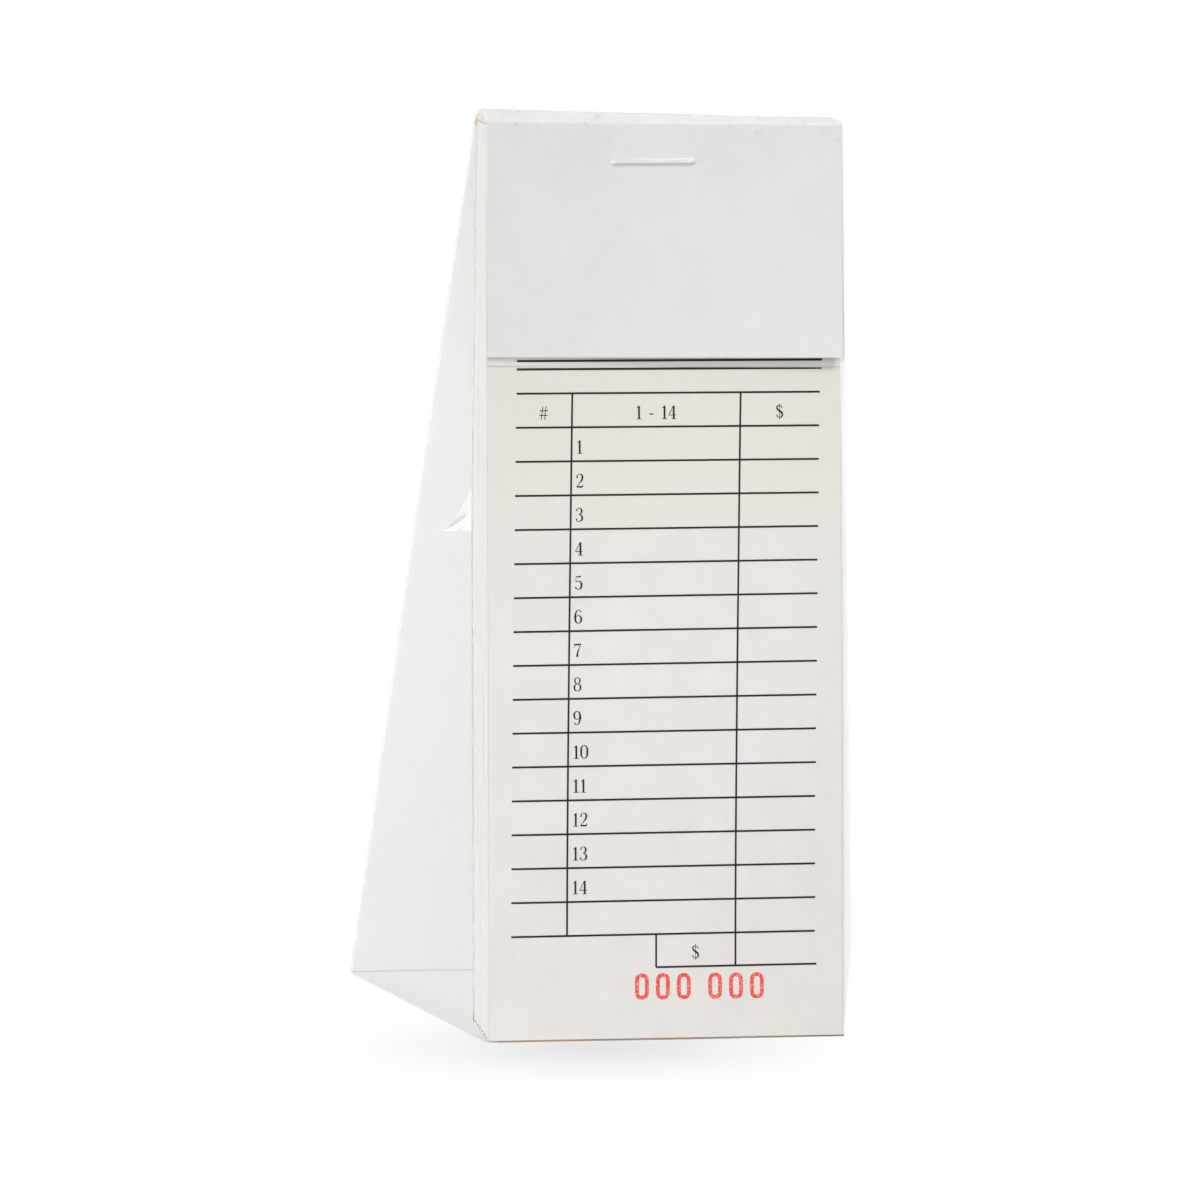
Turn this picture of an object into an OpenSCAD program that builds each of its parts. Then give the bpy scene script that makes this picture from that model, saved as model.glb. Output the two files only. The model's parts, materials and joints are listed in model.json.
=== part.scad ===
// Ticket book standing as an easel: a stapled pad of two-sheet ticket sets leans back,
// and its long back cover swings out behind it as the leg.
// Millimetres, +Z up, front of the pad towards -Y, origin on the floor under the middle.

/* [Tickets] */
// Width of one ticket
ticket_w = 63.5; // [50:0.5:80]
// Length of one ticket with its stub
ticket_h = 152; // [130:1:180]
// Thickness of one sheet
sheet_t = 0.072; // [0.05:0.002:0.1]
// Air between two neighbouring sheets at the head
sheet_air = 0.012; // [0.008:0.002:0.02]
// Two-sheet sets in each of the bundles behind the first two sets
bundle_sets = 3; // [2:1:6]

/* [Stack] */
// How much higher the rearmost sheet's head sits than the front one's
fan_rise = 0.8; // [0:0.1:3]
// How much higher the rearmost sheet's foot sits than the front one's
foot_rise = 3.4; // [0:0.1:5]
// How much thicker the loose part of the pad is than its stapled head
foot_spread = 2.5; // [0.2:0.1:3]
// Height from which the sheets draw in towards the head
knee = 90; // [70:1:110]
// How far the second set slants to the right per millimetre towards its foot
set_slant = 0.008; // [0:0.001:0.01]
// Height and width of the worn corner at the second set's foot
worn_h = 15; // [5:1:25]
worn_w = 1.4; // [0.2:0.1:2]
// How far the sets stand out sideways from the cover
side_jog = 0.35; // [0:0.05:0.6]
// Height at which the two turning leaves end above the foot
leaf_foot = 0.3; // [0.1:0.1:1]
// Distance of the tear line below the flap's free edge
tear_drop = 1.5; // [1.2:0.1:3]
// Width of the slit along the tear line
tear_slit = 0.15; // [0.08:0.01:0.2]

/* [Cover] */
// Thickness of the cover card
card_t = 0.3; // [0.2:0.05:0.5]
// Length of the front flap, from the top fold to its free edge
flap_h = 38.5; // [30:0.5:50]
// Length of the band above the flap's bend that is glued to the stubs
band_h = 12; // [10:0.5:16]
// Angle by which the flap's free edge stands off the tickets
flap_lift = 1; // [0.5:0.1:2]
// How much longer the back cover is than the pad
cover_over = 2.7; // [0.5:0.1:4]
// How far the roof over the head of the pad is arched
roof_rise = 1.3; // [0:0.1:2]
// Gap at each fold between a turning panel's rolled edge and its neighbour
fold_gap = 0.15; // [0.1:0.05:0.3]
// Gap between the rear liner and the back cover when it is closed
closed_gap = 0.25; // [0.2:0.05:0.5]

/* [Backing and glue] */
// Thickness of the backing board
board_t = 0.6; // [0.5:0.1:1.2]
// Thickness of the rear liner
liner_t = 0.1; // [0.06:0.01:0.2]
// Length of the rear liner
liner_h = 67; // [40:1:90]
// Distance of the rear liner's upper edge below the board's upper edge
liner_drop = 1; // [0.5:0.5:3]
// Thickness of the glue along the head of the pad
head_glue_t = 0.2; // [0.1:0.05:0.4]
// Thickness of the glue under the front band
band_glue_t = 0.1; // [0.08:0.01:0.2]
// Clearance between the stepped sheet heads and the glue
head_gap = 0.03; // [0.02:0.01:0.06]

/* [Staple] */
// Length of the crown
crown_l = 14; // [10:0.5:18]
// Thickness of the flat wire
wire_t = 0.4; // [0.3:0.05:0.45]
// Width of the flat wire
wire_w = 0.6; // [0.5:0.05:0.8]
// Distance of the crown below the head of the front ticket
staple_drop = 6; // [5:0.5:8]
// Sideways place of the crown's middle
staple_x = -2.2; // [-6:0.1:6]
// Length of each clinched end
clinch_l = 5; // [3:0.5:5]
// Clearance round the wire
wire_gap = 0.05; // [0.03:0.01:0.1]
// Card left over the crown and round it
crown_cover = 0.25; // [0.15:0.05:0.4]

/* [Stance] */
// Angle by which the pad leans back
lean = 8.5; // [6:0.5:11]

/* [Hidden] */
BUNDLES = 8;
FREE_SHEETS = 2;
FRONT_SHEETS = 4;
SHEETS_PER_SET = 2;
JOG_TURN = 97;
ROOF_STEPS = 12;

cover_w = ticket_w;
pitch = sheet_t + sheet_air;
bundle_sheets = bundle_sets * SHEETS_PER_SET;
sheet_count = FRONT_SHEETS + BUNDLES * bundle_sheets;
stack_t = sheet_count * pitch;
board_y = stack_t;
liner_y = board_y + board_t;
fan_slope = fan_rise / stack_t;
foot_slope = foot_rise / stack_t;

// Heights along the pad, measured from the front ticket's foot
flap_edge = ticket_h - flap_h;
tear_z = flap_edge - tear_drop;
leaf_top = tear_z - tear_slit / 2;
stub_foot = tear_z + tear_slit / 2;
board_head = ticket_h + fan_rise;
staple_z = ticket_h - staple_drop;
band_foot = ticket_h - band_h;
band_front = -band_glue_t - card_t;
bend_y = -band_glue_t - card_t / 2;
bend_z = band_foot - fold_gap - card_t / 2;

// Back of the board at the staple's height, and the clinched ends just inside it
board_back = liner_y + foot_spread * hang(board_head, staple_z);
clinch_back = board_back - wire_gap;

// Place of the back cover's fold, in line with the spine
fold_y = liner_y + liner_t + closed_gap + card_t / 2;
fold_z = spine_floor(fold_y) + card_t / 2;
spine_rear = fold_y - card_t / 2 - fold_gap;

// The pad stands on the first sheet that doesn't turn
foot_y = FREE_SHEETS * pitch;
foot_z = foot_lift(FREE_SHEETS);

// Back cover: its length, and the tilt at which its lower edge meets the floor
cover_len = board_head + cover_over;
fold_reach = upright_y(fold_y, fold_z);
fold_height = upright_z(fold_y, fold_z);
edge_turn = atan2(card_t / 2, cover_len);
tilt = edge_turn + acos(fold_height / norm([cover_len, card_t / 2]));

// Middle of the footprint, which is set over the origin
front_reach = upright_y(0, leaf_foot);
rear_reach = fold_reach + cover_len * sin(tilt) + card_t / 2 * cos(tilt);
middle_y = (front_reach + rear_reach) / 2;

ORIGINAL = "#ece8e1";
DUPLICATE = "#eef0ee";
CARD = "#e8e7e5";
BOARD = "#a8977f";
GLUE = "#d9c7a3";
WIRE = "#b9bcc0";

function sheet_lift(i) = fan_slope * pitch * i;
function foot_lift(i) = foot_slope * pitch * i;
function head_line(y) = ticket_h + fan_slope * y;
function glue_floor(y) = head_line(y) + head_gap;
function spine_floor(y) = glue_floor(y) + head_glue_t;
// How far a sheet's loose part stands back from where its head is
function sheet_spread(i) = foot_spread * max(0, i - FRONT_SHEETS) / (sheet_count - FRONT_SHEETS);
// The share of that spread at a height below the head
function hang(head, z) = min(1, (head - z) / (head - knee));
function slant(z) = set_slant * (staple_z - z);
function set_of(i) = floor(i / SHEETS_PER_SET);
// The first set stands out to the left and the rest stand out unevenly to the right
function set_jog(s) = s == 0 ? -side_jog : side_jog * (1 + cos(JOG_TURN * (s - 1))) / 2;
// The roof's line from front to rear, raised by a distance
function roof_line(up) = [
  for (k = [0 : ROOF_STEPS])
    let (y = band_front + (spine_rear - band_front) * k / ROOF_STEPS)
      [y, spine_floor(y) + roof_rise * sin(180 * k / ROOF_STEPS) + up]
];
// Where a point of the pad lies once the pad leans back over its foot
function upright_y(y, z) = (y - foot_y) * cos(lean) + (z - foot_z) * sin(lean);
function upright_z(y, z) = (z - foot_z) * cos(lean) - (y - foot_y) * sin(lean);

// Sets the pad, drawn upright, leaning back on its foot
module in_pad() {
  translate([0, -middle_y, 0])
    rotate([-lean, 0, 0])
      translate([0, -foot_y, -foot_z])
        children();
}

// Extrudes an outline drawn in depth and height across the width
module across(w) {
  rotate([90, 0, 90])
    linear_extrude(w, center = true)
      children();
}

// Block across the width, from one depth and height to another
module slab(w, y0, y1, z0, z1) {
  translate([-w / 2, y0, z0])
    cube([w, y1 - y0, z1 - z0]);
}

// Two straight channels for the staple's legs, from one depth to another
module leg_channels(y0, y1, gap) {
  for (side = [-1, 1])
    translate([staple_x + side * (crown_l - wire_t) / 2, 0, staple_z])
      slab(wire_t + 2 * gap, y0, y1, -wire_w / 2 - gap, wire_w / 2 + gap);
}

// The clinched ends, turned towards each other in the board, out to a depth
module clinch(gap, y1) {
  for (side = [-1, 1])
    translate([staple_x + side * (crown_l - clinch_l) / 2, 0, staple_z])
      slab(clinch_l + 2 * gap, clinch_back - wire_t - gap, y1, -wire_w / 2 - gap, wire_w / 2 + gap);
}

// The crown across the front, grown by a gap
module crown(gap) {
  translate([staple_x, 0, staple_z])
    slab(crown_l + 2 * gap, -wire_t - gap, 0, -wire_w / 2 - gap, wire_w / 2 + gap);
}

// Sheet of a width and thickness at a depth, hung by its head and bent back at the knee
module hung(w, y, t, spread, head, z0, z1) {
  heights = spread > 0 && z0 < knee ? [z0, knee, z1] : [z0, z1];
  front = [for (z = heights) [y + spread * hang(head, z), z]];
  rear = [for (k = [len(front) - 1 : -1 : 0]) front[k] + [t, 0]];
  across(w)
    polygon(concat(front, rear));
}

// Sheet number i from one height to another
module sheet_part(i, z0, z1) {
  translate([set_jog(set_of(i)), 0, 0])
    hung(ticket_w, i * pitch, sheet_t, sheet_spread(i), ticket_h + sheet_lift(i), z0, z1);
}

// Sheet number i of the second set, which slants and has a worn lower corner
module slanted_sheet(i) {
  z0 = foot_lift(i);
  z1 = ticket_h + sheet_lift(i);
  half = ticket_w / 2;
  translate([set_jog(set_of(i)), i * pitch + sheet_t, 0])
    rotate([90, 0, 0])
      linear_extrude(sheet_t)
        polygon([
          [slant(z0) - half, z0],
          [slant(worn_h) + half - worn_w, z0],
          [slant(worn_h) + half, worn_h],
          [slant(z1) + half, z1],
          [slant(z1) - half, z1]
        ]);
}

// Staple holes taken out of a sheet
module stapled() {
  difference() {
    children();
    leg_channels(-1, stack_t + 1, wire_gap);
  }
}

module paper(i) {
  color(i % SHEETS_PER_SET == 0 ? ORIGINAL : DUPLICATE)
    in_pad()
      children();
}

module original_1_leaf() {
  paper(0) sheet_part(0, leaf_foot, leaf_top);
}

module duplicate_1_leaf() {
  paper(1) sheet_part(1, leaf_foot + sheet_lift(1), leaf_top + sheet_lift(1));
}

module original_1_stub() {
  paper(0) stapled() sheet_part(0, stub_foot, ticket_h);
}

module duplicate_1_stub() {
  paper(1) stapled() sheet_part(1, stub_foot + sheet_lift(1), ticket_h + sheet_lift(1));
}

module original_2() {
  paper(2) stapled() slanted_sheet(2);
}

module duplicate_2() {
  paper(3) stapled() slanted_sheet(3);
}

// One bundle of whole sets, counted from the front
module ticket_bundle(b) {
  first = FRONT_SHEETS + (b - 1) * bundle_sheets;
  for (i = [first : first + bundle_sheets - 1])
    paper(i) stapled() sheet_part(i, foot_lift(i), ticket_h + sheet_lift(i));
}

module backing_board() {
  color(BOARD)
    in_pad()
      difference() {
        hung(cover_w, board_y, board_t, foot_spread, board_head, foot_rise, board_head);
        leg_channels(board_y - 1, board_back + 1, wire_gap);
        clinch(wire_gap, board_back + 1);
      }
}

module rear_liner() {
  color(ORIGINAL)
    in_pad()
      hung(
        cover_w, liner_y, liner_t, foot_spread, board_head,
        board_head - liner_drop - liner_h, board_head - liner_drop
      );
}

module staple() {
  color(WIRE)
    in_pad() {
      crown(0);
      leg_channels(-wire_t, clinch_back, 0);
      clinch(0, clinch_back);
    }
}

// Glue film along the sloping head of the pad
module head_glue() {
  color(GLUE)
    in_pad()
      across(cover_w)
        polygon([
          [0, glue_floor(0)],
          [liner_y, glue_floor(liner_y)],
          [liner_y, spine_floor(liner_y)],
          [0, spine_floor(0)]
        ]);
}

// Glue film that holds the front band to the stubs, open round the crown
module band_glue() {
  color(GLUE)
    in_pad()
      difference() {
        slab(cover_w, -band_glue_t, 0, band_foot, ticket_h);
        crown(wire_gap);
      }
}

// Front of the cover that is glued down, raised over the crown
module cover_band() {
  color(CARD)
    in_pad()
      difference() {
        union() {
          across(cover_w)
            polygon([
              [band_front, band_foot],
              [-band_glue_t, band_foot],
              [-band_glue_t, spine_floor(-band_glue_t)],
              [band_front, spine_floor(band_front)]
            ]);
          crown(wire_gap + crown_cover);
        }
        crown(wire_gap);
        slab(cover_w, -band_glue_t, card_t, band_foot, ticket_h);
      }
}

// Free front flap, bent at its rolled upper edge
module cover_flap() {
  color(CARD)
    in_pad()
      translate([0, bend_y, bend_z])
        rotate([-flap_lift, 0, 0])
          hinged_panel(bend_z - flap_edge);
}

// Arched roof of the cover over the head of the pad
module cover_spine() {
  color(CARD)
    in_pad()
      across(cover_w)
        polygon(concat(roof_line(0), [for (k = [ROOF_STEPS : -1 : 0]) roof_line(card_t)[k]]));
}

// Card panel that hangs from a rolled edge on its own fold line
module hinged_panel(len) {
  rotate([0, 90, 0])
    cylinder(h = cover_w, d = card_t, center = true, $fn = 32);
  slab(cover_w, -card_t / 2, card_t / 2, -len, 0);
}

// Back panel of the cover, swung out as the easel's leg
module back_cover() {
  color(CARD)
    translate([0, fold_reach - middle_y, fold_height])
      rotate([tilt, 0, 0])
        hinged_panel(cover_len);
}

original_1_leaf();
duplicate_1_leaf();
original_1_stub();
duplicate_1_stub();
original_2();
duplicate_2();
for (b = [1 : BUNDLES])
  ticket_bundle(b);
backing_board();
rear_liner();
staple();
head_glue();
band_glue();
cover_band();
cover_flap();
cover_spine();
back_cover();
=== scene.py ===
"""A stapled ticket book standing as an easel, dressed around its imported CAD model.

Sizes are in millimetres in the pad's own frame, x across from the middle,
y back from the face of the first ticket, z up the ticket from its foot, and
every mesh is made in metres in the frame of the CAD model.
"""

import json
import logging
import math
from dataclasses import dataclass, field
from enum import Enum
from typing import Callable, ClassVar, Sequence

import bmesh
import bpy
from mathutils import Matrix, Vector, noise


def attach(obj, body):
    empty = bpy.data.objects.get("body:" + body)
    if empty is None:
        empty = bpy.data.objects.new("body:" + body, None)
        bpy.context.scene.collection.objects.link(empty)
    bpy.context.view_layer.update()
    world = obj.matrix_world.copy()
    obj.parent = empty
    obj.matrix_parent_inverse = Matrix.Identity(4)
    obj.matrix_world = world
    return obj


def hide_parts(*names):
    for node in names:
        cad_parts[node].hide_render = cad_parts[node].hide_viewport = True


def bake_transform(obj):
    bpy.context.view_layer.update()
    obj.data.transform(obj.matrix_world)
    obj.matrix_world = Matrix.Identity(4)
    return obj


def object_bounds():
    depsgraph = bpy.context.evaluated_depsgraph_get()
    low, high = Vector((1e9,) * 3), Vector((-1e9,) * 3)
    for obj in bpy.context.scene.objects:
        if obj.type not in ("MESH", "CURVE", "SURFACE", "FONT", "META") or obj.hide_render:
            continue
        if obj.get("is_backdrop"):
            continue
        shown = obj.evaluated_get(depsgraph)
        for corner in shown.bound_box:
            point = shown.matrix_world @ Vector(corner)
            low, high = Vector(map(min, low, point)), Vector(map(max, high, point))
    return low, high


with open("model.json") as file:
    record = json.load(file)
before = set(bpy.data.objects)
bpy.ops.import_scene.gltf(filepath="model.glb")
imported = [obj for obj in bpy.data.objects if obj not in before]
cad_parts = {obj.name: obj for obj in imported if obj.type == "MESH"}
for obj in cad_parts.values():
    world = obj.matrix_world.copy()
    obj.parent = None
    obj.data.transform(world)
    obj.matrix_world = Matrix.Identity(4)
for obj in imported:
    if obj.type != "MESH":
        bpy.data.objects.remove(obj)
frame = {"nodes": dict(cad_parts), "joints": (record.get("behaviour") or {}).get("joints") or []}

log = logging.getLogger("ticket_book")

MM = 0.001

UP = Vector((0, 0, 1))

Span = tuple[float, float]
Rgb = tuple[float, float, float]
Grain = tuple[float, float, float]
Knot = tuple[float, float, float]
Stroke = tuple[bool, tuple[Knot, ...]]
Surface = Callable[[float, float, float], Vector]
Socket = bpy.types.NodeSocket
Tone = Socket | Rgb
Term = Socket | Vector | tuple[float, ...] | float


class Body(str, Enum):
    """The CAD bodies that pieces ride on."""

    PAD = "pad"
    COPY_LEAF = "duplicate_leaf"
    TOP_LEAF = "original_leaf"
    FLAP = "flap"
    LEG = "leg"


class Slot(str, Enum):
    """The record's material slots, passed along with new pieces but not set on them."""

    TOP_COPY = "ticket_original"
    UNDER_COPY = "ticket_duplicate"
    CARD = "cover_card"
    LINER = "liner_paper"


def lerp(a: float, b: float, t: float) -> float:
    """The value a share t of the way from a to b."""
    return a + (b - a) * t


def smooth(t: float) -> float:
    """A soft step from 0 to 1 as t goes from 0 to 1."""
    t = min(1.0, max(0.0, t))
    return t * t * (3 - 2 * t)


def bell(t: float) -> float:
    """A hump of height 1 at t = 0 that dies away by about 3."""
    return math.exp(-t * t)


def steps(*spans: tuple[float, float, float]) -> list[float]:
    """Grid lines over spans that follow one another.

    Args:
        spans: start, end and greatest pitch of each span.

    Returns:
        The lines in order, each once.
    """
    lines: list[float] = [spans[0][0]]
    for start, end, pitch in spans:
        count = max(1, math.ceil(abs(end - start) / pitch))
        lines += [lerp(start, end, (i + 1) / count) for i in range(count)]
    return lines


@dataclass(frozen=True)
class PadFrame:
    """The leaning pad's own axes in the CAD frame."""

    origin: Vector
    up: Vector
    depth: Vector
    LEAF_FOOT: ClassVar[float] = 0.3
    KNEE: ClassVar[float] = 90.0

    @classmethod
    def from_leaf(cls, node: str) -> "PadFrame":
        """Reads the lean from the flat front leaf.

        Args:
            node: the CAD node of the front leaf.

        Returns:
            The frame whose zero height is the foot of the tickets.
        """
        corners = [v.co for v in frame["nodes"][node].data.vertices]
        foot = min(corners, key=lambda c: c.y)
        head = max(corners, key=lambda c: c.z)
        up = Vector((0, head.y - foot.y, head.z - foot.z)).normalized()
        origin = Vector((0, foot.y, foot.z)) - up * cls.LEAF_FOOT * MM
        return cls(origin, up, Vector((0, up.z, -up.y)))

    def point(self, x: float, y: float, z: float) -> Vector:
        """The place in the CAD frame, in metres, of a point of the pad in mm."""
        place = self.origin + self.depth * y * MM + self.up * z * MM
        return place + Vector((x * MM, 0, 0))

    def local(self, place: Vector) -> Vector:
        """The pad's millimetres of a place in the CAD frame."""
        arm = Vector(place) - self.origin
        return Vector((arm.x, arm.dot(self.depth), arm.dot(self.up))) / MM

    def spots(self, node: str) -> list[Vector]:
        """The corners of a CAD node in the pad's own frame."""
        return [self.local(v.co) for v in frame["nodes"][node].data.vertices]

    def box(self, node: str) -> tuple[Vector, Vector]:
        """The lowest and highest corner of a CAD node in the pad's own frame."""
        spots = self.spots(node)
        low = Vector(min(s[i] for s in spots) for i in range(3))
        high = Vector(max(s[i] for s in spots) for i in range(3))
        return low, high

    def slant(self, node: str) -> tuple[Vector, Vector]:
        """The front of a flat CAD node that leans in the pad.

        Args:
            node: the CAD node, thinner than its lean is deep.

        Returns:
            The points of its front at its head and at its foot.
        """
        spots = self.spots(node)
        top, foot = max(s.z for s in spots), min(s.z for s in spots)
        span = (top - foot) / 4
        head = min((s for s in spots if s.z > top - span), key=lambda s: s.y)
        base = min((s for s in spots if s.z < foot + span), key=lambda s: s.y)
        return head, base

    def hinge(self, joint: str) -> Vector:
        """Where a joint's axis runs, in the pad's own frame."""
        row = next(j for j in frame["joints"] if j["name"] == joint)
        return self.local(Vector(row["pos_m"]))


class NodeBench:
    """Lays out one material's nodes."""

    MIX_UNDER, MIX_OVER, MIX_OUT = 6, 7, 2
    GRAIN_SPAN: ClassVar[Span] = (0.3, 0.7)

    def __init__(self, name: str) -> None:
        """Starts an empty material with its shader and output."""
        self.material = bpy.data.materials.new(name)
        self.material.use_nodes = True
        self.tree = self.material.node_tree
        self.tree.nodes.clear()
        self.output = self.tree.nodes.new("ShaderNodeOutputMaterial")
        self.shader = self.tree.nodes.new("ShaderNodeBsdfPrincipled")
        self.link(self.shader.outputs["BSDF"], self.output.inputs["Surface"])
        self.place = self.tree.nodes.new("ShaderNodeTexCoord").outputs["Object"]

    def link(self, out: Socket, to: Socket) -> None:
        """Joins two sockets."""
        self.tree.links.new(out, to)

    def feed(self, term: Term, to: Socket) -> None:
        """Gives a socket what it takes in: another socket or a plain value."""
        if isinstance(term, Socket):
            self.link(term, to)
        else:
            to.default_value = term

    def node(self, kind: str, **settings: object) -> bpy.types.Node:
        """A new node with some of its properties set."""
        made = self.tree.nodes.new(kind)
        for key, value in settings.items():
            setattr(made, key, value)
        return made

    def calc(self, operation: str, *terms: Term) -> Socket:
        """The result of one sum on sockets and plain numbers."""
        made = self.node("ShaderNodeMath", operation=operation)
        for term, socket in zip(terms, made.inputs):
            self.feed(term, socket)
        return made.outputs[0]

    def largest(self, *shares: Socket) -> Socket:
        """The largest of several shares."""
        most = shares[0]
        for share in shares[1:]:
            most = self.calc("MAXIMUM", most, share)
        return most

    def dot(self, vector: Socket, other: Socket | Vector) -> Socket:
        """The dot product of a vector with a direction or with another vector."""
        made = self.node("ShaderNodeVectorMath", operation="DOT_PRODUCT")
        self.link(vector, made.inputs[0])
        self.feed(other, made.inputs[1])
        return made.outputs["Value"]

    def grain(
        self, per_mm: Grain, lean: float = 0.0, detail: float = 3.0, rough: float = 0.55
    ) -> Socket:
        """A noise field fixed to the object.

        Args:
            per_mm: grains per millimetre along x, depth and height.
            lean: the angle by which the field leans back, in radians.
            detail: octaves of the noise.
            rough: how strongly the finer octaves count.

        Returns:
            The noise's value, about 0 to 1.
        """
        turn = self.node("ShaderNodeMapping", vector_type="POINT")
        turn.inputs["Rotation"].default_value = (lean, 0, 0)
        self.link(self.place, turn.inputs["Vector"])
        scale = self.node("ShaderNodeMapping", vector_type="POINT")
        scale.inputs["Scale"].default_value = [s / MM for s in per_mm]
        self.link(turn.outputs["Vector"], scale.inputs["Vector"])
        made = self.node("ShaderNodeTexNoise")
        made.inputs["Scale"].default_value = 1.0
        made.inputs["Detail"].default_value = detail
        made.inputs["Roughness"].default_value = rough
        self.link(scale.outputs["Vector"], made.inputs["Vector"])
        return made.outputs["Fac"]

    def ramp(
        self, value: Socket, low: float, high: float, to_low: float, to_high: float,
        soft: bool = False,
    ) -> Socket:
        """A value carried from one range to another and held at the ends."""
        curve = "SMOOTHSTEP" if soft else "LINEAR"
        made = self.node("ShaderNodeMapRange", interpolation_type=curve)
        keys = ("From Min", "From Max", "To Min", "To Max")
        for key, number in zip(keys, (low, high, to_low, to_high)):
            made.inputs[key].default_value = number
        self.link(value, made.inputs["Value"])
        return made.outputs["Result"]

    def along(self, direction: Vector, start: Vector, end: Vector) -> Socket:
        """A soft ramp from 0 at start to 1 at end, measured along a direction."""
        ends = start.dot(direction), end.dot(direction)
        return self.ramp(self.dot(self.place, direction), *ends, 0, 1, True)

    def height(self, start: float, end: float) -> Socket:
        """A soft ramp from 0 to 1 between two heights, in metres."""
        return self.along(UP, UP * start, UP * end)

    def up_pad(self, pad: PadFrame, start: float, end: float) -> Socket:
        """A soft ramp from 0 to 1 between two heights on the pad, in mm."""
        return self.along(pad.up, pad.point(0, 0, start), pad.point(0, 0, end))

    def blend(self, share: Socket, under: Tone, over: Tone) -> Socket:
        """A colour laid over another by a share from 0 to 1."""
        mix = self.node("ShaderNodeMix", data_type="RGBA")
        self.link(share, mix.inputs["Factor"])
        for tone, place in ((under, self.MIX_UNDER), (over, self.MIX_OVER)):
            self.feed(tone if isinstance(tone, Socket) else (*tone, 1), mix.inputs[place])
        return mix.outputs[self.MIX_OUT]

    def bump(self, height: Socket, depth_mm: float, strength: float) -> None:
        """Gives the shader a relief of the given depth."""
        made = self.node("ShaderNodeBump")
        made.inputs["Distance"].default_value = depth_mm * MM
        made.inputs["Strength"].default_value = strength
        self.link(height, made.inputs["Height"])
        self.link(made.outputs["Normal"], self.shader.inputs["Normal"])

    def rough(self, grain: Socket, low: float, high: float) -> None:
        """Lets the shader's roughness follow a grain from one level to another."""
        level = self.ramp(grain, *self.GRAIN_SPAN, low, high)
        self.link(level, self.shader.inputs["Roughness"])

    def colour(self, out: Socket) -> None:
        """Sets the shader's colour from a socket."""
        self.link(out, self.shader.inputs["Base Color"])

    def constant(self, **values: float) -> None:
        """Sets even values on the shader's own sockets, by name with _ for a space."""
        for key, value in values.items():
            self.shader.inputs[key.replace("_", " ")].default_value = value


@dataclass(frozen=True)
class PaperFinish:
    """Uncoated writing paper: cloudy formation, fine fibres, a warm head."""

    name: str
    colour: Rgb
    cloud: Rgb
    fleck: Rgb
    warm: Rgb | None = None
    warm_from: Span = (60.0, 112.0)
    # foot: a brown painted shade along the sheet's foot, standing in for the contact shadow where
    # it meets the floor.
    foot: Rgb | None = None
    painted_foot_shade_heights: Span = (0.75, 0.35)
    cloud_grain: Grain = (0.16, 0.16, 0.11)
    cloud_span: Span = (0.35, 0.72)
    fleck_grain: Grain = (2.6, 2.6, 1.1)
    fleck_span: Span = (0.66, 0.80)
    fleck_share: float = 0.55
    tooth_grain: Grain = (5.0, 5.0, 3.4)
    tooth_relief: Span = (0.012, 0.5)
    roughness: Span = (0.76, 0.88)
    gloss: float = 0.25

    def material(self, pad: PadFrame) -> bpy.types.Material:
        """Lays out the paper.

        Args:
            pad: the frame that the sheets lean in.

        Returns:
            The material.
        """
        bench = NodeBench(self.name)
        lean = math.atan2(pad.up.y, pad.up.z)
        clouds = bench.grain(self.cloud_grain, lean, 4)
        tone = bench.blend(bench.ramp(clouds, *self.cloud_span, 0, 1), self.colour, self.cloud)
        # The foot tint, where given, is painted shade: the brown contact shadow at the sheet's
        # foot.
        for tint, heights in ((self.warm, self.warm_from), (self.foot, self.painted_foot_shade_heights)):
            if tint:
                tone = bench.blend(bench.up_pad(pad, *heights), tone, tint)
        flecks = bench.ramp(
            bench.grain(self.fleck_grain, lean, 2), *self.fleck_span, 0, self.fleck_share
        )
        bench.colour(bench.blend(flecks, tone, self.fleck))
        tooth = bench.grain(self.tooth_grain, lean, 3)
        bench.bump(tooth, *self.tooth_relief)
        bench.rough(tooth, *self.roughness)
        bench.constant(Specular_IOR_Level=self.gloss)
        return bench.material


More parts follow.
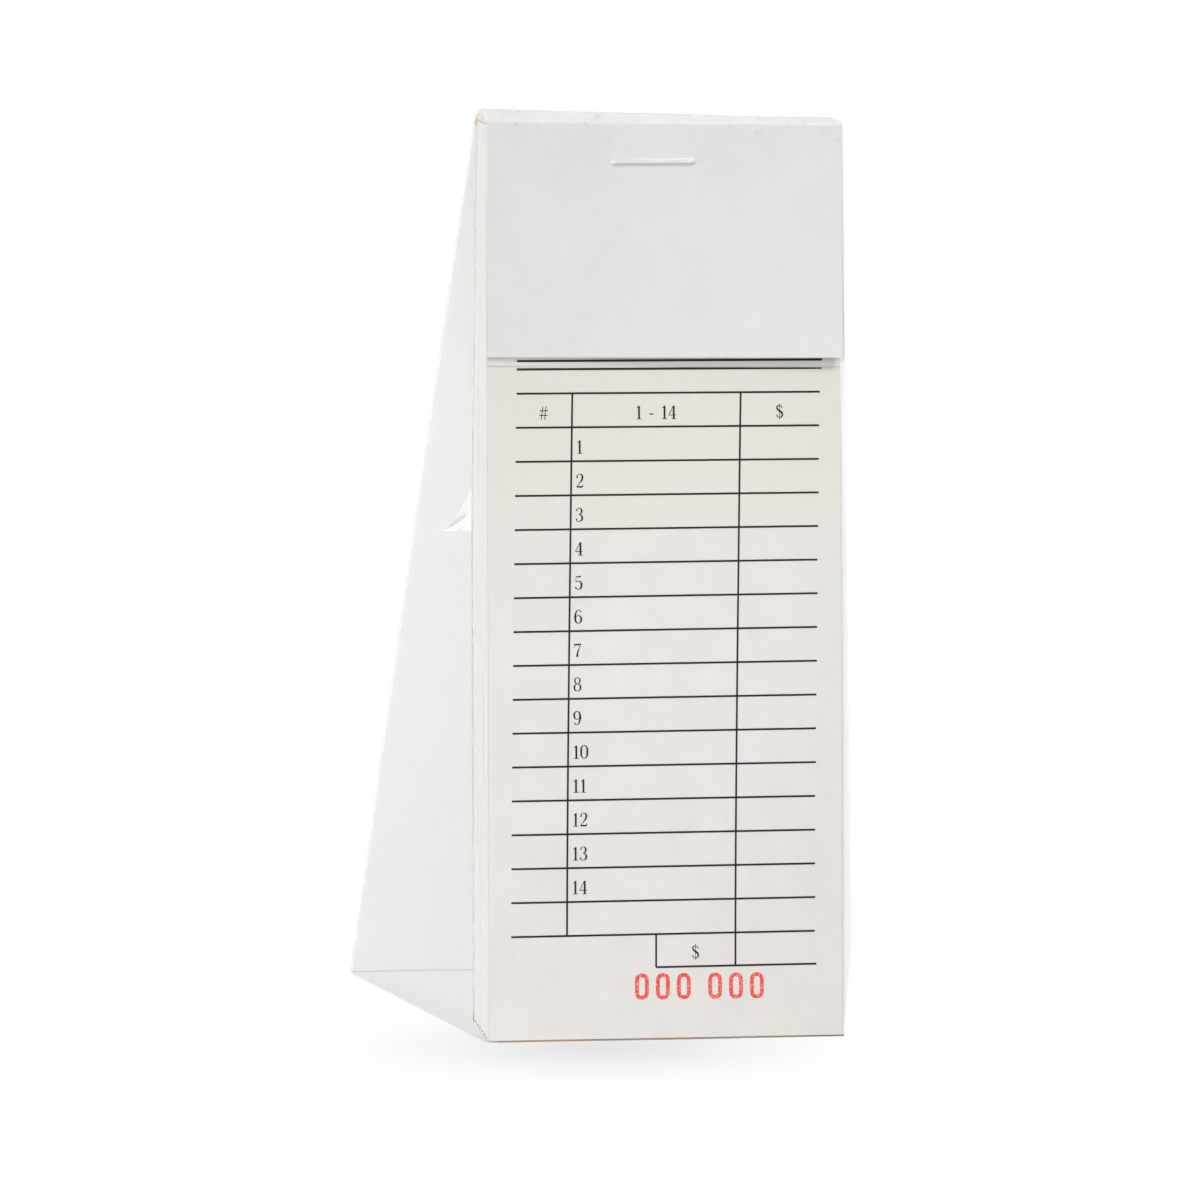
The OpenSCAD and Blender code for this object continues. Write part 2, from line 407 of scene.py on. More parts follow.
@dataclass(frozen=True)
class StackFinish:
    """Trimmed edges of many sheets: each sheet a shade of its own."""

    name: str
    colour: Rgb
    shade: Rgb
    dust: Rgb
    # The stack's edges turn browner within half a millimetre of its slanting foot.
    foot_brown: Rgb
    dull: Rgb
    foot_brown_from: Span = (0.40, 0.12)
    foot_brown_share: float = 0.85
    dull_from: Span = (85.0, 165.0)
    sheet_pitch: float = 0.168
    sheet_run: Span = (0.004, 0.012)
    sheet_span: Span = (0.38, 0.66)
    gather_grain: Grain = (0.02, 1.1, 0.02)
    gather_span: Span = (0.56, 0.74)
    gather_share: float = 0.6
    tooth_grain: Grain = (4.0, 9.0, 2.0)
    tooth_relief: Span = (0.02, 0.5)
    roughness: Span = (0.78, 0.92)
    gloss: float = 0.2

    @staticmethod
    def fan(
        bench: NodeBench, pad: PadFrame, head: Vector, foot: Vector
    ) -> tuple[Socket, Socket]:
        """The place with its depth drawn in to what it is at the stapled head.

        Args:
            bench: the material's bench.
            pad: the frame that the sheets lean in.
            head: the rear of the stack at its head.
            foot: the rear of the stack at its foot.

        Returns:
            A vector of x, depth at the head and height, and the height above
            the slanting foot.
        """
        arm = bench.node("ShaderNodeVectorMath", operation="SUBTRACT")
        bench.link(bench.place, arm.inputs[0])
        arm.inputs[1].default_value = pad.origin
        ways = (Vector((1, 0, 0)), pad.depth, pad.up)
        x, depth, height = (bench.dot(arm.outputs["Vector"], way) for way in ways)
        wide = bench.ramp(height, pad.KNEE * MM, head.z * MM, foot.y / head.y, 1.0)
        drawn = bench.calc("DIVIDE", depth, wide)
        parts = bench.node("ShaderNodeCombineXYZ")
        for out, socket in zip((x, drawn, height), parts.inputs):
            bench.link(out, socket)
        above = bench.calc("MULTIPLY_ADD", drawn, -foot.z / head.y, height)
        return parts.outputs["Vector"], above

    def material(self, pad: PadFrame, head: Vector, foot: Vector) -> bpy.types.Material:
        """Lays out the edges of the stack.

        Args:
            pad: the frame that the sheets lean in.
            head: the rear of the stack at its head.
            foot: the rear of the stack at its foot.

        Returns:
            The material.
        """
        bench = NodeBench(self.name)
        bench.place, above = self.fan(bench, pad, head, foot)
        across, up = self.sheet_run
        sheets = bench.grain((across, 1 / self.sheet_pitch, up), 0, 1)
        tone = bench.blend(bench.ramp(sheets, *self.sheet_span, 0, 1), self.colour, self.shade)
        gather = bench.ramp(
            bench.grain(self.gather_grain, 0, 2), *self.gather_span, 0, self.gather_share
        )
        tone = bench.blend(gather, tone, self.dust)
        tone = bench.blend(bench.height(*(z * MM for z in self.dull_from)), tone, self.dull)
        # Browner towards the slanting foot.
        low, high = (h * MM for h in self.foot_brown_from)
        tone = bench.blend(
            bench.ramp(above, low, high, 0, self.foot_brown_share, True), tone, self.foot_brown
        )
        bench.colour(tone)
        tooth = bench.grain(self.tooth_grain, 0, 3)
        bench.bump(tooth, *self.tooth_relief)
        bench.rough(tooth, *self.roughness)
        bench.constant(Specular_IOR_Level=self.gloss)
        return bench.material


@dataclass(frozen=True)
class CardFinish:
    """Smooth white card: faint formation, small specks, a soft calendered sheen."""

    name: str
    colour: Rgb
    cloud: Rgb
    speck: Rgb
    depth_mm: Span | None = None
    glow_from: Span = (0.095, 0.148)
    stain: Rgb | None = None
    stain_from: Span = (147.5, 151.5)
    # shade: a painted shade that the card takes towards one end, between the two heights in metres
    # below.
    shade: Rgb | None = None
    painted_card_shade_heights: Span = (0.072, 0.004)
    cloud_grain: Grain = (0.11, 0.11, 0.08)
    cloud_span: Span = (0.36, 0.70)
    speck_grain: Grain = (1.5, 1.5, 1.5)
    speck_span: Span = (0.78, 0.84)
    speck_share: float = 0.6
    stain_grain: Grain = (0.55, 0.55, 0.8)
    stain_span: Span = (0.60, 0.74)
    stain_share: float = 0.5
    skin_grain: Grain = (1.2, 1.2, 0.9)
    skin_rough: float = 0.62
    skin_relief: Span = (0.02, 0.45)
    roughness: Span = (0.55, 0.69)
    gloss: float = 0.3

    def material(self, pad: PadFrame) -> bpy.types.Material:
        """Lays out the card.

        Args:
            pad: the frame that the sheets lean in.

        Returns:
            The material.
        """
        bench = NodeBench(self.name)
        clouds = bench.grain(self.cloud_grain, 0, 4)
        tone = bench.blend(bench.ramp(clouds, *self.cloud_span, 0, 1), self.colour, self.cloud)
        specks = bench.grain(self.speck_grain, 0, 1)
        tone = bench.blend(
            bench.ramp(specks, *self.speck_span, 0, self.speck_share), tone, self.speck
        )
        if self.stain:
            near = bench.up_pad(pad, *self.stain_from)
            spots = bench.ramp(
                bench.grain(self.stain_grain, 0, 3), *self.stain_span, 0, self.stain_share
            )
            tone = bench.blend(bench.calc("MULTIPLY", near, spots), tone, self.stain)
        # Painted shade: the card darkens towards one end.
        if self.shade:
            tone = bench.blend(bench.height(*self.painted_card_shade_heights), tone, self.shade)
        bench.colour(tone)
        skin = bench.grain(self.skin_grain, 0, 4, self.skin_rough)
        bench.bump(skin, *self.skin_relief)
        bench.rough(skin, *self.roughness)
        bench.constant(Specular_IOR_Level=self.gloss)
        if self.depth_mm:
            depths = (d * MM for d in self.depth_mm)
            deep = bench.ramp(bench.height(*self.glow_from), 0, 1, *depths)
            bench.link(deep, bench.shader.inputs["Subsurface Scale"])
            bench.constant(Subsurface_Weight=1.0)
            bench.shader.inputs["Subsurface Radius"].default_value = (1, 1, 1)
        return bench.material


@dataclass(frozen=True)
class BoardFinish:
    """Chipboard with loose fibres in its cut edge, lined white on its faces."""

    name: str
    core: Rgb
    dark: Rgb
    rubbed: Rgb
    lining: Rgb
    shred_grain: Grain = (2.2, 5.0, 0.35)
    shred_lean: float = 0.3
    shred_span: Span = (0.46, 0.60)
    foot_rub: Span = (2.6, 0.4)
    head_rub: Span = (-1.2, -0.3)
    lining_span: Span = (0.6, 0.8)
    pulp_grain: Grain = (0.8, 0.8, 0.8)
    pulp_rough: float = 0.6
    pulp_relief: Span = (0.05, 0.6)
    roughness: Span = (0.82, 0.96)
    gloss: float = 0.15

    def material(self, pad: PadFrame, foot: float, head: float) -> bpy.types.Material:
        """Lays out the board.

        Args:
            pad: the frame that the board leans in.
            foot: the height of its foot, in mm.
            head: the height of its head, in mm.

        Returns:
            The material.
        """
        bench = NodeBench(self.name)
        shreds = bench.grain(self.shred_grain, self.shred_lean, 2)
        tone = bench.blend(bench.ramp(shreds, *self.shred_span, 0, 1), self.core, self.dark)
        for end, (start, stop) in ((foot, self.foot_rub), (head, self.head_rub)):
            tone = bench.blend(bench.up_pad(pad, end + start, end + stop), tone, self.rubbed)
        normal = bench.node("ShaderNodeNewGeometry").outputs["True Normal"]
        flat = bench.calc("ABSOLUTE", bench.dot(normal, pad.depth))
        bench.colour(bench.blend(bench.ramp(flat, *self.lining_span, 0, 1), tone, self.lining))
        bench.bump(bench.grain(self.pulp_grain, 0, 4, self.pulp_rough), *self.pulp_relief)
        bench.rough(shreds, *self.roughness)
        bench.constant(Specular_IOR_Level=self.gloss)
        return bench.material


@dataclass(frozen=True)
class CoatFinish:
    """A thin coat of two tones that mix in one grain."""

    name: str
    colour: Rgb
    other: Rgb
    grain: Grain
    grain_rough: float = 0.55
    span: Span = (0.4, 0.7)
    share: float = 1.0
    relief: Span = (0.01, 0.3)
    roughness: Span = (0.24, 0.44)
    gloss: float = 0.5
    metal: float = 0.0

    def material(self) -> bpy.types.Material:
        """Lays out the coat."""
        bench = NodeBench(self.name)
        film = bench.grain(self.grain, 0, 3, self.grain_rough)
        patches = bench.ramp(film, *self.span, 0, self.share)
        bench.colour(bench.blend(patches, self.colour, self.other))
        bench.bump(film, *self.relief)
        bench.rough(film, *self.roughness)
        bench.constant(Specular_IOR_Level=self.gloss, Metallic=self.metal)
        return bench.material


@dataclass(frozen=True)
class InkFinish(CoatFinish):
    """Printing ink that lies unevenly on the paper's tooth."""

    grain: Grain = (7.0, 7.0, 7.0)
    grain_rough: float = 0.6
    span: Span = (0.60, 0.78)
    share: float = 0.7
    relief: Span = (0.006, 0.4)
    roughness: Span = (0.45, 0.75)
    gloss: float = 0.3


@dataclass(frozen=True)
class WireFinish(CoatFinish):
    """Bright drawn flat wire with fine lines along it."""

    grain: Grain = (0.3, 9.0, 9.0)
    metal: float = 1.0


@dataclass(frozen=True)
class GlueFinish(CoatFinish):
    """Dried amber padding glue, thicker in some places than in others."""

    grain: Grain = (0.5, 0.9, 1.6)
    span: Span = (0.40, 0.66)
    relief: Span = (0.05, 0.5)
    roughness: Span = (0.28, 0.5)
    gloss: float = 0.45


class Palette:
    """Every finish of the book, made once."""

    def __init__(self, pad: PadFrame) -> None:
        """Makes the materials for a pad that leans as given."""
        self.make_papers(pad)
        self.make_cards(pad)
        self.make_coats()

    def make_papers(self, pad: PadFrame) -> None:
        """Makes the finishes of the sheets and of their trimmed edges."""
        self.top_copy = PaperFinish(
            "top_copy_paper", (0.650, 0.629, 0.608), (0.624, 0.601, 0.577), (0.55, 0.525, 0.49),
            warm=(0.605, 0.579, 0.541),
        ).material(pad)
        self.under_copy = PaperFinish(
            "under_copy_paper", (0.635, 0.623, 0.608), (0.608, 0.597, 0.580), (0.55, 0.53, 0.51)
        ).material(pad)
        self.fresh_copy = PaperFinish(
            "fresh_copy_paper", (0.766, 0.769, 0.768), (0.745, 0.748, 0.745), (0.66, 0.66, 0.65),
            # The brown foot is painted shade: the contact shadow along the sheet's foot.
            foot=(0.40, 0.28, 0.20),
        ).material(pad)
        self.liner = PaperFinish(
            "liner_paper", (0.90, 0.90, 0.895), (0.875, 0.875, 0.87), (0.80, 0.80, 0.79)
        ).material(pad)
        self.stack = StackFinish(
            "ticket_edges", (0.796, 0.789, 0.774), (0.798, 0.788, 0.77), (0.71, 0.695, 0.67),
            (0.44, 0.30, 0.20), (0.730, 0.722, 0.705),
        ).material(pad, *pad.slant("backing_board"))

    def make_cards(self, pad: PadFrame) -> None:
        """Makes the finishes of the cover and of the board."""
        self.card = CardFinish(
            "cover_card", (0.595, 0.589, 0.580), (0.573, 0.567, 0.560), (0.45, 0.43, 0.41),
            stain=(0.46, 0.40, 0.33),
        ).material(pad)
        # The leg is the same card as the front, painted much paler as painted light for the shaded
        # wedge behind the pad; its rear face takes painted shade towards the fold, its inner face
        # towards the foot.
        glow = (0.40, 0.9)
        self.painted_light_leg_rear_face = CardFinish(
            "leg_card", (0.925, 0.922, 0.918), (0.905, 0.902, 0.898), (0.70, 0.69, 0.68), glow,
            shade=(0.66, 0.656, 0.65), painted_card_shade_heights=(0.055, 0.145),
        ).material(pad)
        self.painted_light_leg_inner_face = CardFinish(
            "leg_card_inside", (0.93, 0.93, 0.93), (0.91, 0.91, 0.91), (0.68, 0.67, 0.66), glow,
            shade=(0.893, 0.893, 0.893),
        ).material(pad)
        self.leg_edge = CardFinish(
            "leg_card_edge", (0.70, 0.695, 0.685), (0.65, 0.645, 0.635), (0.54, 0.53, 0.52)
        ).material(pad)
        low, high = pad.box("backing_board")
        self.board = BoardFinish(
            "lined_chipboard", (0.60, 0.57, 0.54), (0.40, 0.37, 0.345), (0.34, 0.22, 0.13),
            (0.82, 0.82, 0.81),
        ).material(pad, low.z, high.z)

    def make_coats(self) -> None:
        """Makes the finishes of the inks, the wire and the glues."""
        self.black_ink = InkFinish(
            "black_ink", (0.010, 0.009, 0.009), (0.06, 0.055, 0.055)
        ).material()
        self.red_ink = InkFinish(
            "red_ink", (0.66, 0.055, 0.045), (0.80, 0.36, 0.32), (3.2, 3.2, 3.2),
            span=(0.50, 0.66), share=0.85,
        ).material()
        self.wire = WireFinish("staple_wire", (0.62, 0.62, 0.64), (0.42, 0.42, 0.44)).material()
        self.glue = GlueFinish("padding_glue", (0.70, 0.48, 0.24), (0.55, 0.33, 0.13)).material()
        self.paste = GlueFinish("band_paste", (0.80, 0.77, 0.71), (0.74, 0.70, 0.63)).material()


class Maker:
    """Turns vertices into finished pieces of the book."""

    CREASE = math.radians(35)

    @staticmethod
    def piece(
        name: str, mesh: bmesh.types.BMesh, slot: Slot, *finishes: bpy.types.Material
    ) -> bpy.types.Object:
        """Makes an object of a finished mesh.

        Args:
            name: the piece's name.
            mesh: its geometry in metres, which is freed.
            slot: the record's slot of its finish; not used.
            finishes: its finish, and those of its back and rim where they differ.

        Returns:
            The object, not yet riding on a body.
        """
        bmesh.ops.recalc_face_normals(mesh, faces=mesh.faces)
        data = bpy.data.meshes.new(name)
        mesh.to_mesh(data)
        mesh.free()
        data.polygons.foreach_set("use_smooth", [True] * len(data.polygons))
        data.set_sharp_from_angle(angle=Maker.CREASE)
        for finish in finishes:
            data.materials.append(finish)
        made = bpy.data.objects.new(name, data)
        bpy.context.scene.collection.objects.link(made)
        log.info("%s: %d faces", name, len(data.polygons))
        return made

    @staticmethod
    def sheet(
        front: list[list[Vector]], back: list[list[Vector]],
        two_sided: bool = False, rim_finish: int = 0,
    ) -> bmesh.types.BMesh:
        """A closed sheet between two grids of points.

        Args:
            front: rows of points on one face.
            back: the same rows on the other face.
            two_sided: whether the other face has a finish of its own.
            rim_finish: which finish the rim has.

        Returns:
            The sheet with its rim closed.
        """
        mesh = bmesh.new()
        rows, cols = len(front), len(front[0])
        top, under = ([[mesh.verts.new(p) for p in row] for row in face] for face in (front, back))
        for r in range(rows - 1):
            for c in range(cols - 1):
                for side, face in enumerate((top, under)):
                    quad = (face[r][c], face[r][c + 1], face[r + 1][c + 1], face[r + 1][c])
                    mesh.faces.new(quad).material_index = side if two_sided else 0
        rim = [(0, c) for c in range(cols - 1)] + [(r, cols - 1) for r in range(rows - 1)]
        rim += [(rows - 1, c) for c in range(cols - 1, 0, -1)]
        rim += [(r, 0) for r in range(rows - 1, 0, -1)]
        for (r0, c0), (r1, c1) in zip(rim, rim[1:] + rim[:1]):
            quad = (top[r0][c0], top[r1][c1], under[r1][c1], under[r0][c0])
            mesh.faces.new(quad).material_index = rim_finish
        return mesh


# Figures and signs as pen strokes in a cell one unit high. Each has the width of
# its cell, and strokes that say whether they close and give knots of x, height
# and pen width. The nine is the six turned about the middle of its cell.
FIGURE_GAP = 0.05
FIGURES: dict[str, tuple[float, tuple[Stroke, ...]]] = {
    "0": (0.62, (
        (True, ((0.31, 0.985, 0.05), (0.52, 0.8, 0.12), (0.545, 0.5, 0.155), (0.52, 0.2, 0.12),
            (0.31, 0.015, 0.05), (0.1, 0.2, 0.12), (0.075, 0.5, 0.155), (0.1, 0.8, 0.12))),
    )),
    "1": (0.52, (
        (False, ((0.27, 0.03, 0.15), (0.27, 0.96, 0.15))),
        (False, ((0.06, 0.025, 0.05), (0.48, 0.025, 0.05))),
        (False, ((0.08, 0.8, 0.04), (0.2, 0.87, 0.06), (0.28, 0.965, 0.07))),
    )),
    "2": (0.6, (
        (False, ((0.1, 0.7, 0.14), (0.1, 0.8, 0.1), (0.18, 0.93, 0.06), (0.31, 0.985, 0.05),
            (0.47, 0.9, 0.12), (0.515, 0.72, 0.15), (0.44, 0.52, 0.12), (0.24, 0.28, 0.06),
            (0.07, 0.07, 0.05))),
        (False, ((0.06, 0.055, 0.1), (0.3, 0.065, 0.12), (0.5, 0.055, 0.12))),
        (False, ((0.53, 0.03, 0.06), (0.555, 0.22, 0.05))),
    )),
    "3": (0.6, (
        (False, ((0.1, 0.76, 0.13), (0.13, 0.9, 0.07), (0.29, 0.985, 0.05), (0.45, 0.9, 0.11),
            (0.485, 0.75, 0.14), (0.42, 0.58, 0.09), (0.26, 0.52, 0.045))),
        (False, ((0.26, 0.52, 0.045), (0.44, 0.46, 0.09), (0.53, 0.28, 0.155),
            (0.46, 0.09, 0.11), (0.29, 0.015, 0.05), (0.12, 0.07, 0.07), (0.075, 0.22, 0.13))),
    )),
    "4": (0.62, (
        (False, ((0.4, 0.98, 0.05), (0.04, 0.3, 0.05))),
        (False, ((0.03, 0.29, 0.06), (0.59, 0.29, 0.06))),
        (False, ((0.42, 0.03, 0.15), (0.42, 0.97, 0.15))),
        (False, ((0.25, 0.025, 0.05), (0.58, 0.025, 0.05))),
    )),
    "5": (0.6, (
        (False, ((0.12, 0.93, 0.05), (0.3, 0.925, 0.11), (0.5, 0.95, 0.09))),
        (False, ((0.115, 0.95, 0.04), (0.1, 0.52, 0.04))),
        (False, ((0.1, 0.52, 0.045), (0.2, 0.6, 0.06), (0.33, 0.62, 0.06), (0.49, 0.52, 0.12),
            (0.54, 0.32, 0.155), (0.47, 0.1, 0.12), (0.3, 0.015, 0.05), (0.12, 0.07, 0.07),
            (0.075, 0.2, 0.13))),
    )),
    "6": (0.62, (
        (False, ((0.5, 0.82, 0.12), (0.46, 0.93, 0.07), (0.34, 0.985, 0.05), (0.17, 0.86, 0.1),
            (0.08, 0.56, 0.15), (0.08, 0.32, 0.155), (0.15, 0.1, 0.12), (0.31, 0.015, 0.05),
            (0.48, 0.1, 0.11), (0.545, 0.3, 0.15), (0.48, 0.5, 0.11), (0.33, 0.585, 0.05),
            (0.19, 0.53, 0.06), (0.1, 0.4, 0.06))),
    )),
    "7": (0.6, (
        (False, ((0.05, 0.93, 0.12), (0.28, 0.92, 0.12), (0.54, 0.95, 0.1))),
        (False, ((0.045, 0.97, 0.05), (0.05, 0.72, 0.045))),
        (False, ((0.55, 0.97, 0.05), (0.4, 0.62, 0.08), (0.29, 0.32, 0.12), (0.27, 0.03, 0.17))),
    )),
    "8": (0.62, (
        (True, ((0.31, 0.985, 0.05), (0.47, 0.9, 0.09), (0.5, 0.76, 0.12), (0.45, 0.61, 0.09),
            (0.31, 0.53, 0.05), (0.16, 0.61, 0.09), (0.11, 0.76, 0.12), (0.14, 0.9, 0.09))),
        (True, ((0.31, 0.53, 0.05), (0.49, 0.44, 0.1), (0.55, 0.27, 0.14), (0.48, 0.08, 0.1),
            (0.31, 0.015, 0.05), (0.13, 0.08, 0.1), (0.07, 0.27, 0.14), (0.12, 0.44, 0.1))),
    )),
    "#": (0.74, (
        (False, ((0.18, 0.02, 0.06), (0.3, 0.98, 0.06))),
        (False, ((0.44, 0.02, 0.06), (0.56, 0.98, 0.06))),
        (False, ((0.06, 0.66, 0.07), (0.7, 0.66, 0.07))),
        (False, ((0.03, 0.34, 0.07), (0.67, 0.34, 0.07))),
    )),
    "$": (0.62, (
        (False, ((0.5, 0.76, 0.1), (0.44, 0.88, 0.06), (0.3, 0.94, 0.05), (0.13, 0.86, 0.1),
            (0.1, 0.72, 0.12), (0.22, 0.58, 0.13), (0.42, 0.46, 0.14), (0.52, 0.3, 0.13),
            (0.47, 0.12, 0.1), (0.3, 0.05, 0.05), (0.14, 0.11, 0.06), (0.07, 0.26, 0.1))),
        (False, ((0.31, -0.09, 0.05), (0.31, 1.08, 0.05))),
    )),
    "-": (0.46, (
        (False, ((0.06, 0.37, 0.09), (0.38, 0.37, 0.09))),
    )),
    " ": (0.4, ()),
}
SIX_WIDTH, SIX_STROKES = FIGURES["6"]
FIGURES["9"] = (
    SIX_WIDTH,
    tuple(
        (shut, tuple((SIX_WIDTH - x, 1 - y, w) for x, y, w in knots))
        for shut, knots in SIX_STROKES
    ),
)
STAMPED_ZERO: Stroke = (True, (
    (0.27, 0.925, 0.15), (0.395, 0.895, 0.15), (0.465, 0.79, 0.155), (0.475, 0.5, 0.16),
    (0.465, 0.21, 0.155), (0.395, 0.105, 0.15), (0.27, 0.075, 0.15), (0.145, 0.105, 0.15),
    (0.075, 0.21, 0.155), (0.065, 0.5, 0.16), (0.075, 0.79, 0.155), (0.145, 0.895, 0.15),
))


@dataclass
class Pen:
    """Lays ink on a sheet as thin closed ribbons that follow its surface."""

    surface: Surface
    film: float
    sunk: float = 0.004
    pitch: float = 3.0
    fine: int = 5
    mesh: bmesh.types.BMesh = field(default_factory=bmesh.new)

    def ribbon(self, knots: Sequence[Knot], shut: bool = False) -> None:
        """Draws one ribbon.

        Args:
            knots: x, height and pen width along the ribbon, in mm.
            shut: whether its end joins its start.
        """
        rings: list[list[bmesh.types.BMVert]] = []
        count = len(knots)
        for i, (x, z, width) in enumerate(knots):
            before = knots[i - 1] if shut or i else knots[i]
            after = knots[(i + 1) % count] if shut or i < count - 1 else knots[i]
            dx, dz = after[0] - before[0], after[1] - before[1]
            size = math.hypot(dx, dz) or 1.0
            nx, nz = -dz / size * width / 2, dx / size * width / 2
            spots = ((x + nx, z + nz, self.film), (x - nx, z - nz, self.film),
                     (x - nx, z - nz, -self.sunk), (x + nx, z + nz, -self.sunk))
            rings.append([self.mesh.verts.new(self.surface(*s)) for s in spots])
        for a, b in zip(rings, rings[1:] + (rings[:1] if shut else [])):
            for k in range(4):
                self.mesh.faces.new((a[k], a[(k + 1) % 4], b[(k + 1) % 4], b[k]))
        if not shut:
            self.mesh.faces.new(rings[0])
            self.mesh.faces.new(rings[-1])

    def rule(self, start: Span, end: Span, width: float) -> None:
        """Draws a straight rule, stepped so that it follows the sheet."""
        count = max(1, math.ceil(math.dist(start, end) / self.pitch))
        self.ribbon([
            (lerp(start[0], end[0], i / count), lerp(start[1], end[1], i / count), width)
            for i in range(count + 1)
        ])

    def stroke(self, stroke: Stroke, left: float, foot: float, high: float, rise: float) -> None:
        """Draws one pen stroke of a figure.

        Args:
            stroke: the stroke in its unit cell.
            left: where the cell's left side is, in mm.
            foot: where its foot is, in mm.
            high: the figure's height in mm.
            rise: how far the line of print rises per mm to the right.
        """
        shut, knots = stroke
        count = len(knots)
        path: list[Knot] = []
        for i in range(count if shut else count - 1):
            near = [
                knots[k % count] if shut else knots[min(count - 1, max(0, k))]
                for k in range(i - 1, i + 3)
            ]
            for s in range(self.fine if count > 2 else 1):
                path.append(self.curve(*near, s / self.fine))
        if not shut:
            path.append(knots[-1])
        self.ribbon([
            (left + x * high, foot + y * high + x * high * rise, w * high) for x, y, w in path
        ], shut)

    @staticmethod
    def curve(a: Knot, b: Knot, c: Knot, d: Knot, t: float) -> Knot:
        """The point a share t of the way from b to c on a smooth curve through the knots."""
        return tuple(
            (2 * q + (r - p) * t
             + (2 * p - 5 * q + 4 * r - s) * t * t
             + (3 * q - p - 3 * r + s) * t ** 3) / 2
            for p, q, r, s in zip(a, b, c, d)
        )

    def write(self, text: str, left: float, foot: float, high: float, rise: float) -> None:
        """Writes figures and signs on a line that starts at left, foot."""
        for sign in text:
            width, strokes = FIGURES[sign]
            for stroke in strokes:
                self.stroke(stroke, left, foot, high, rise)
            left += width * high + FIGURE_GAP * high
            foot += width * high * rise


def text_width(text: str, high: float) -> float:
    """How wide a line of figures is, in mm."""
    return sum(FIGURES[sign][0] * high + FIGURE_GAP * high for sign in text)


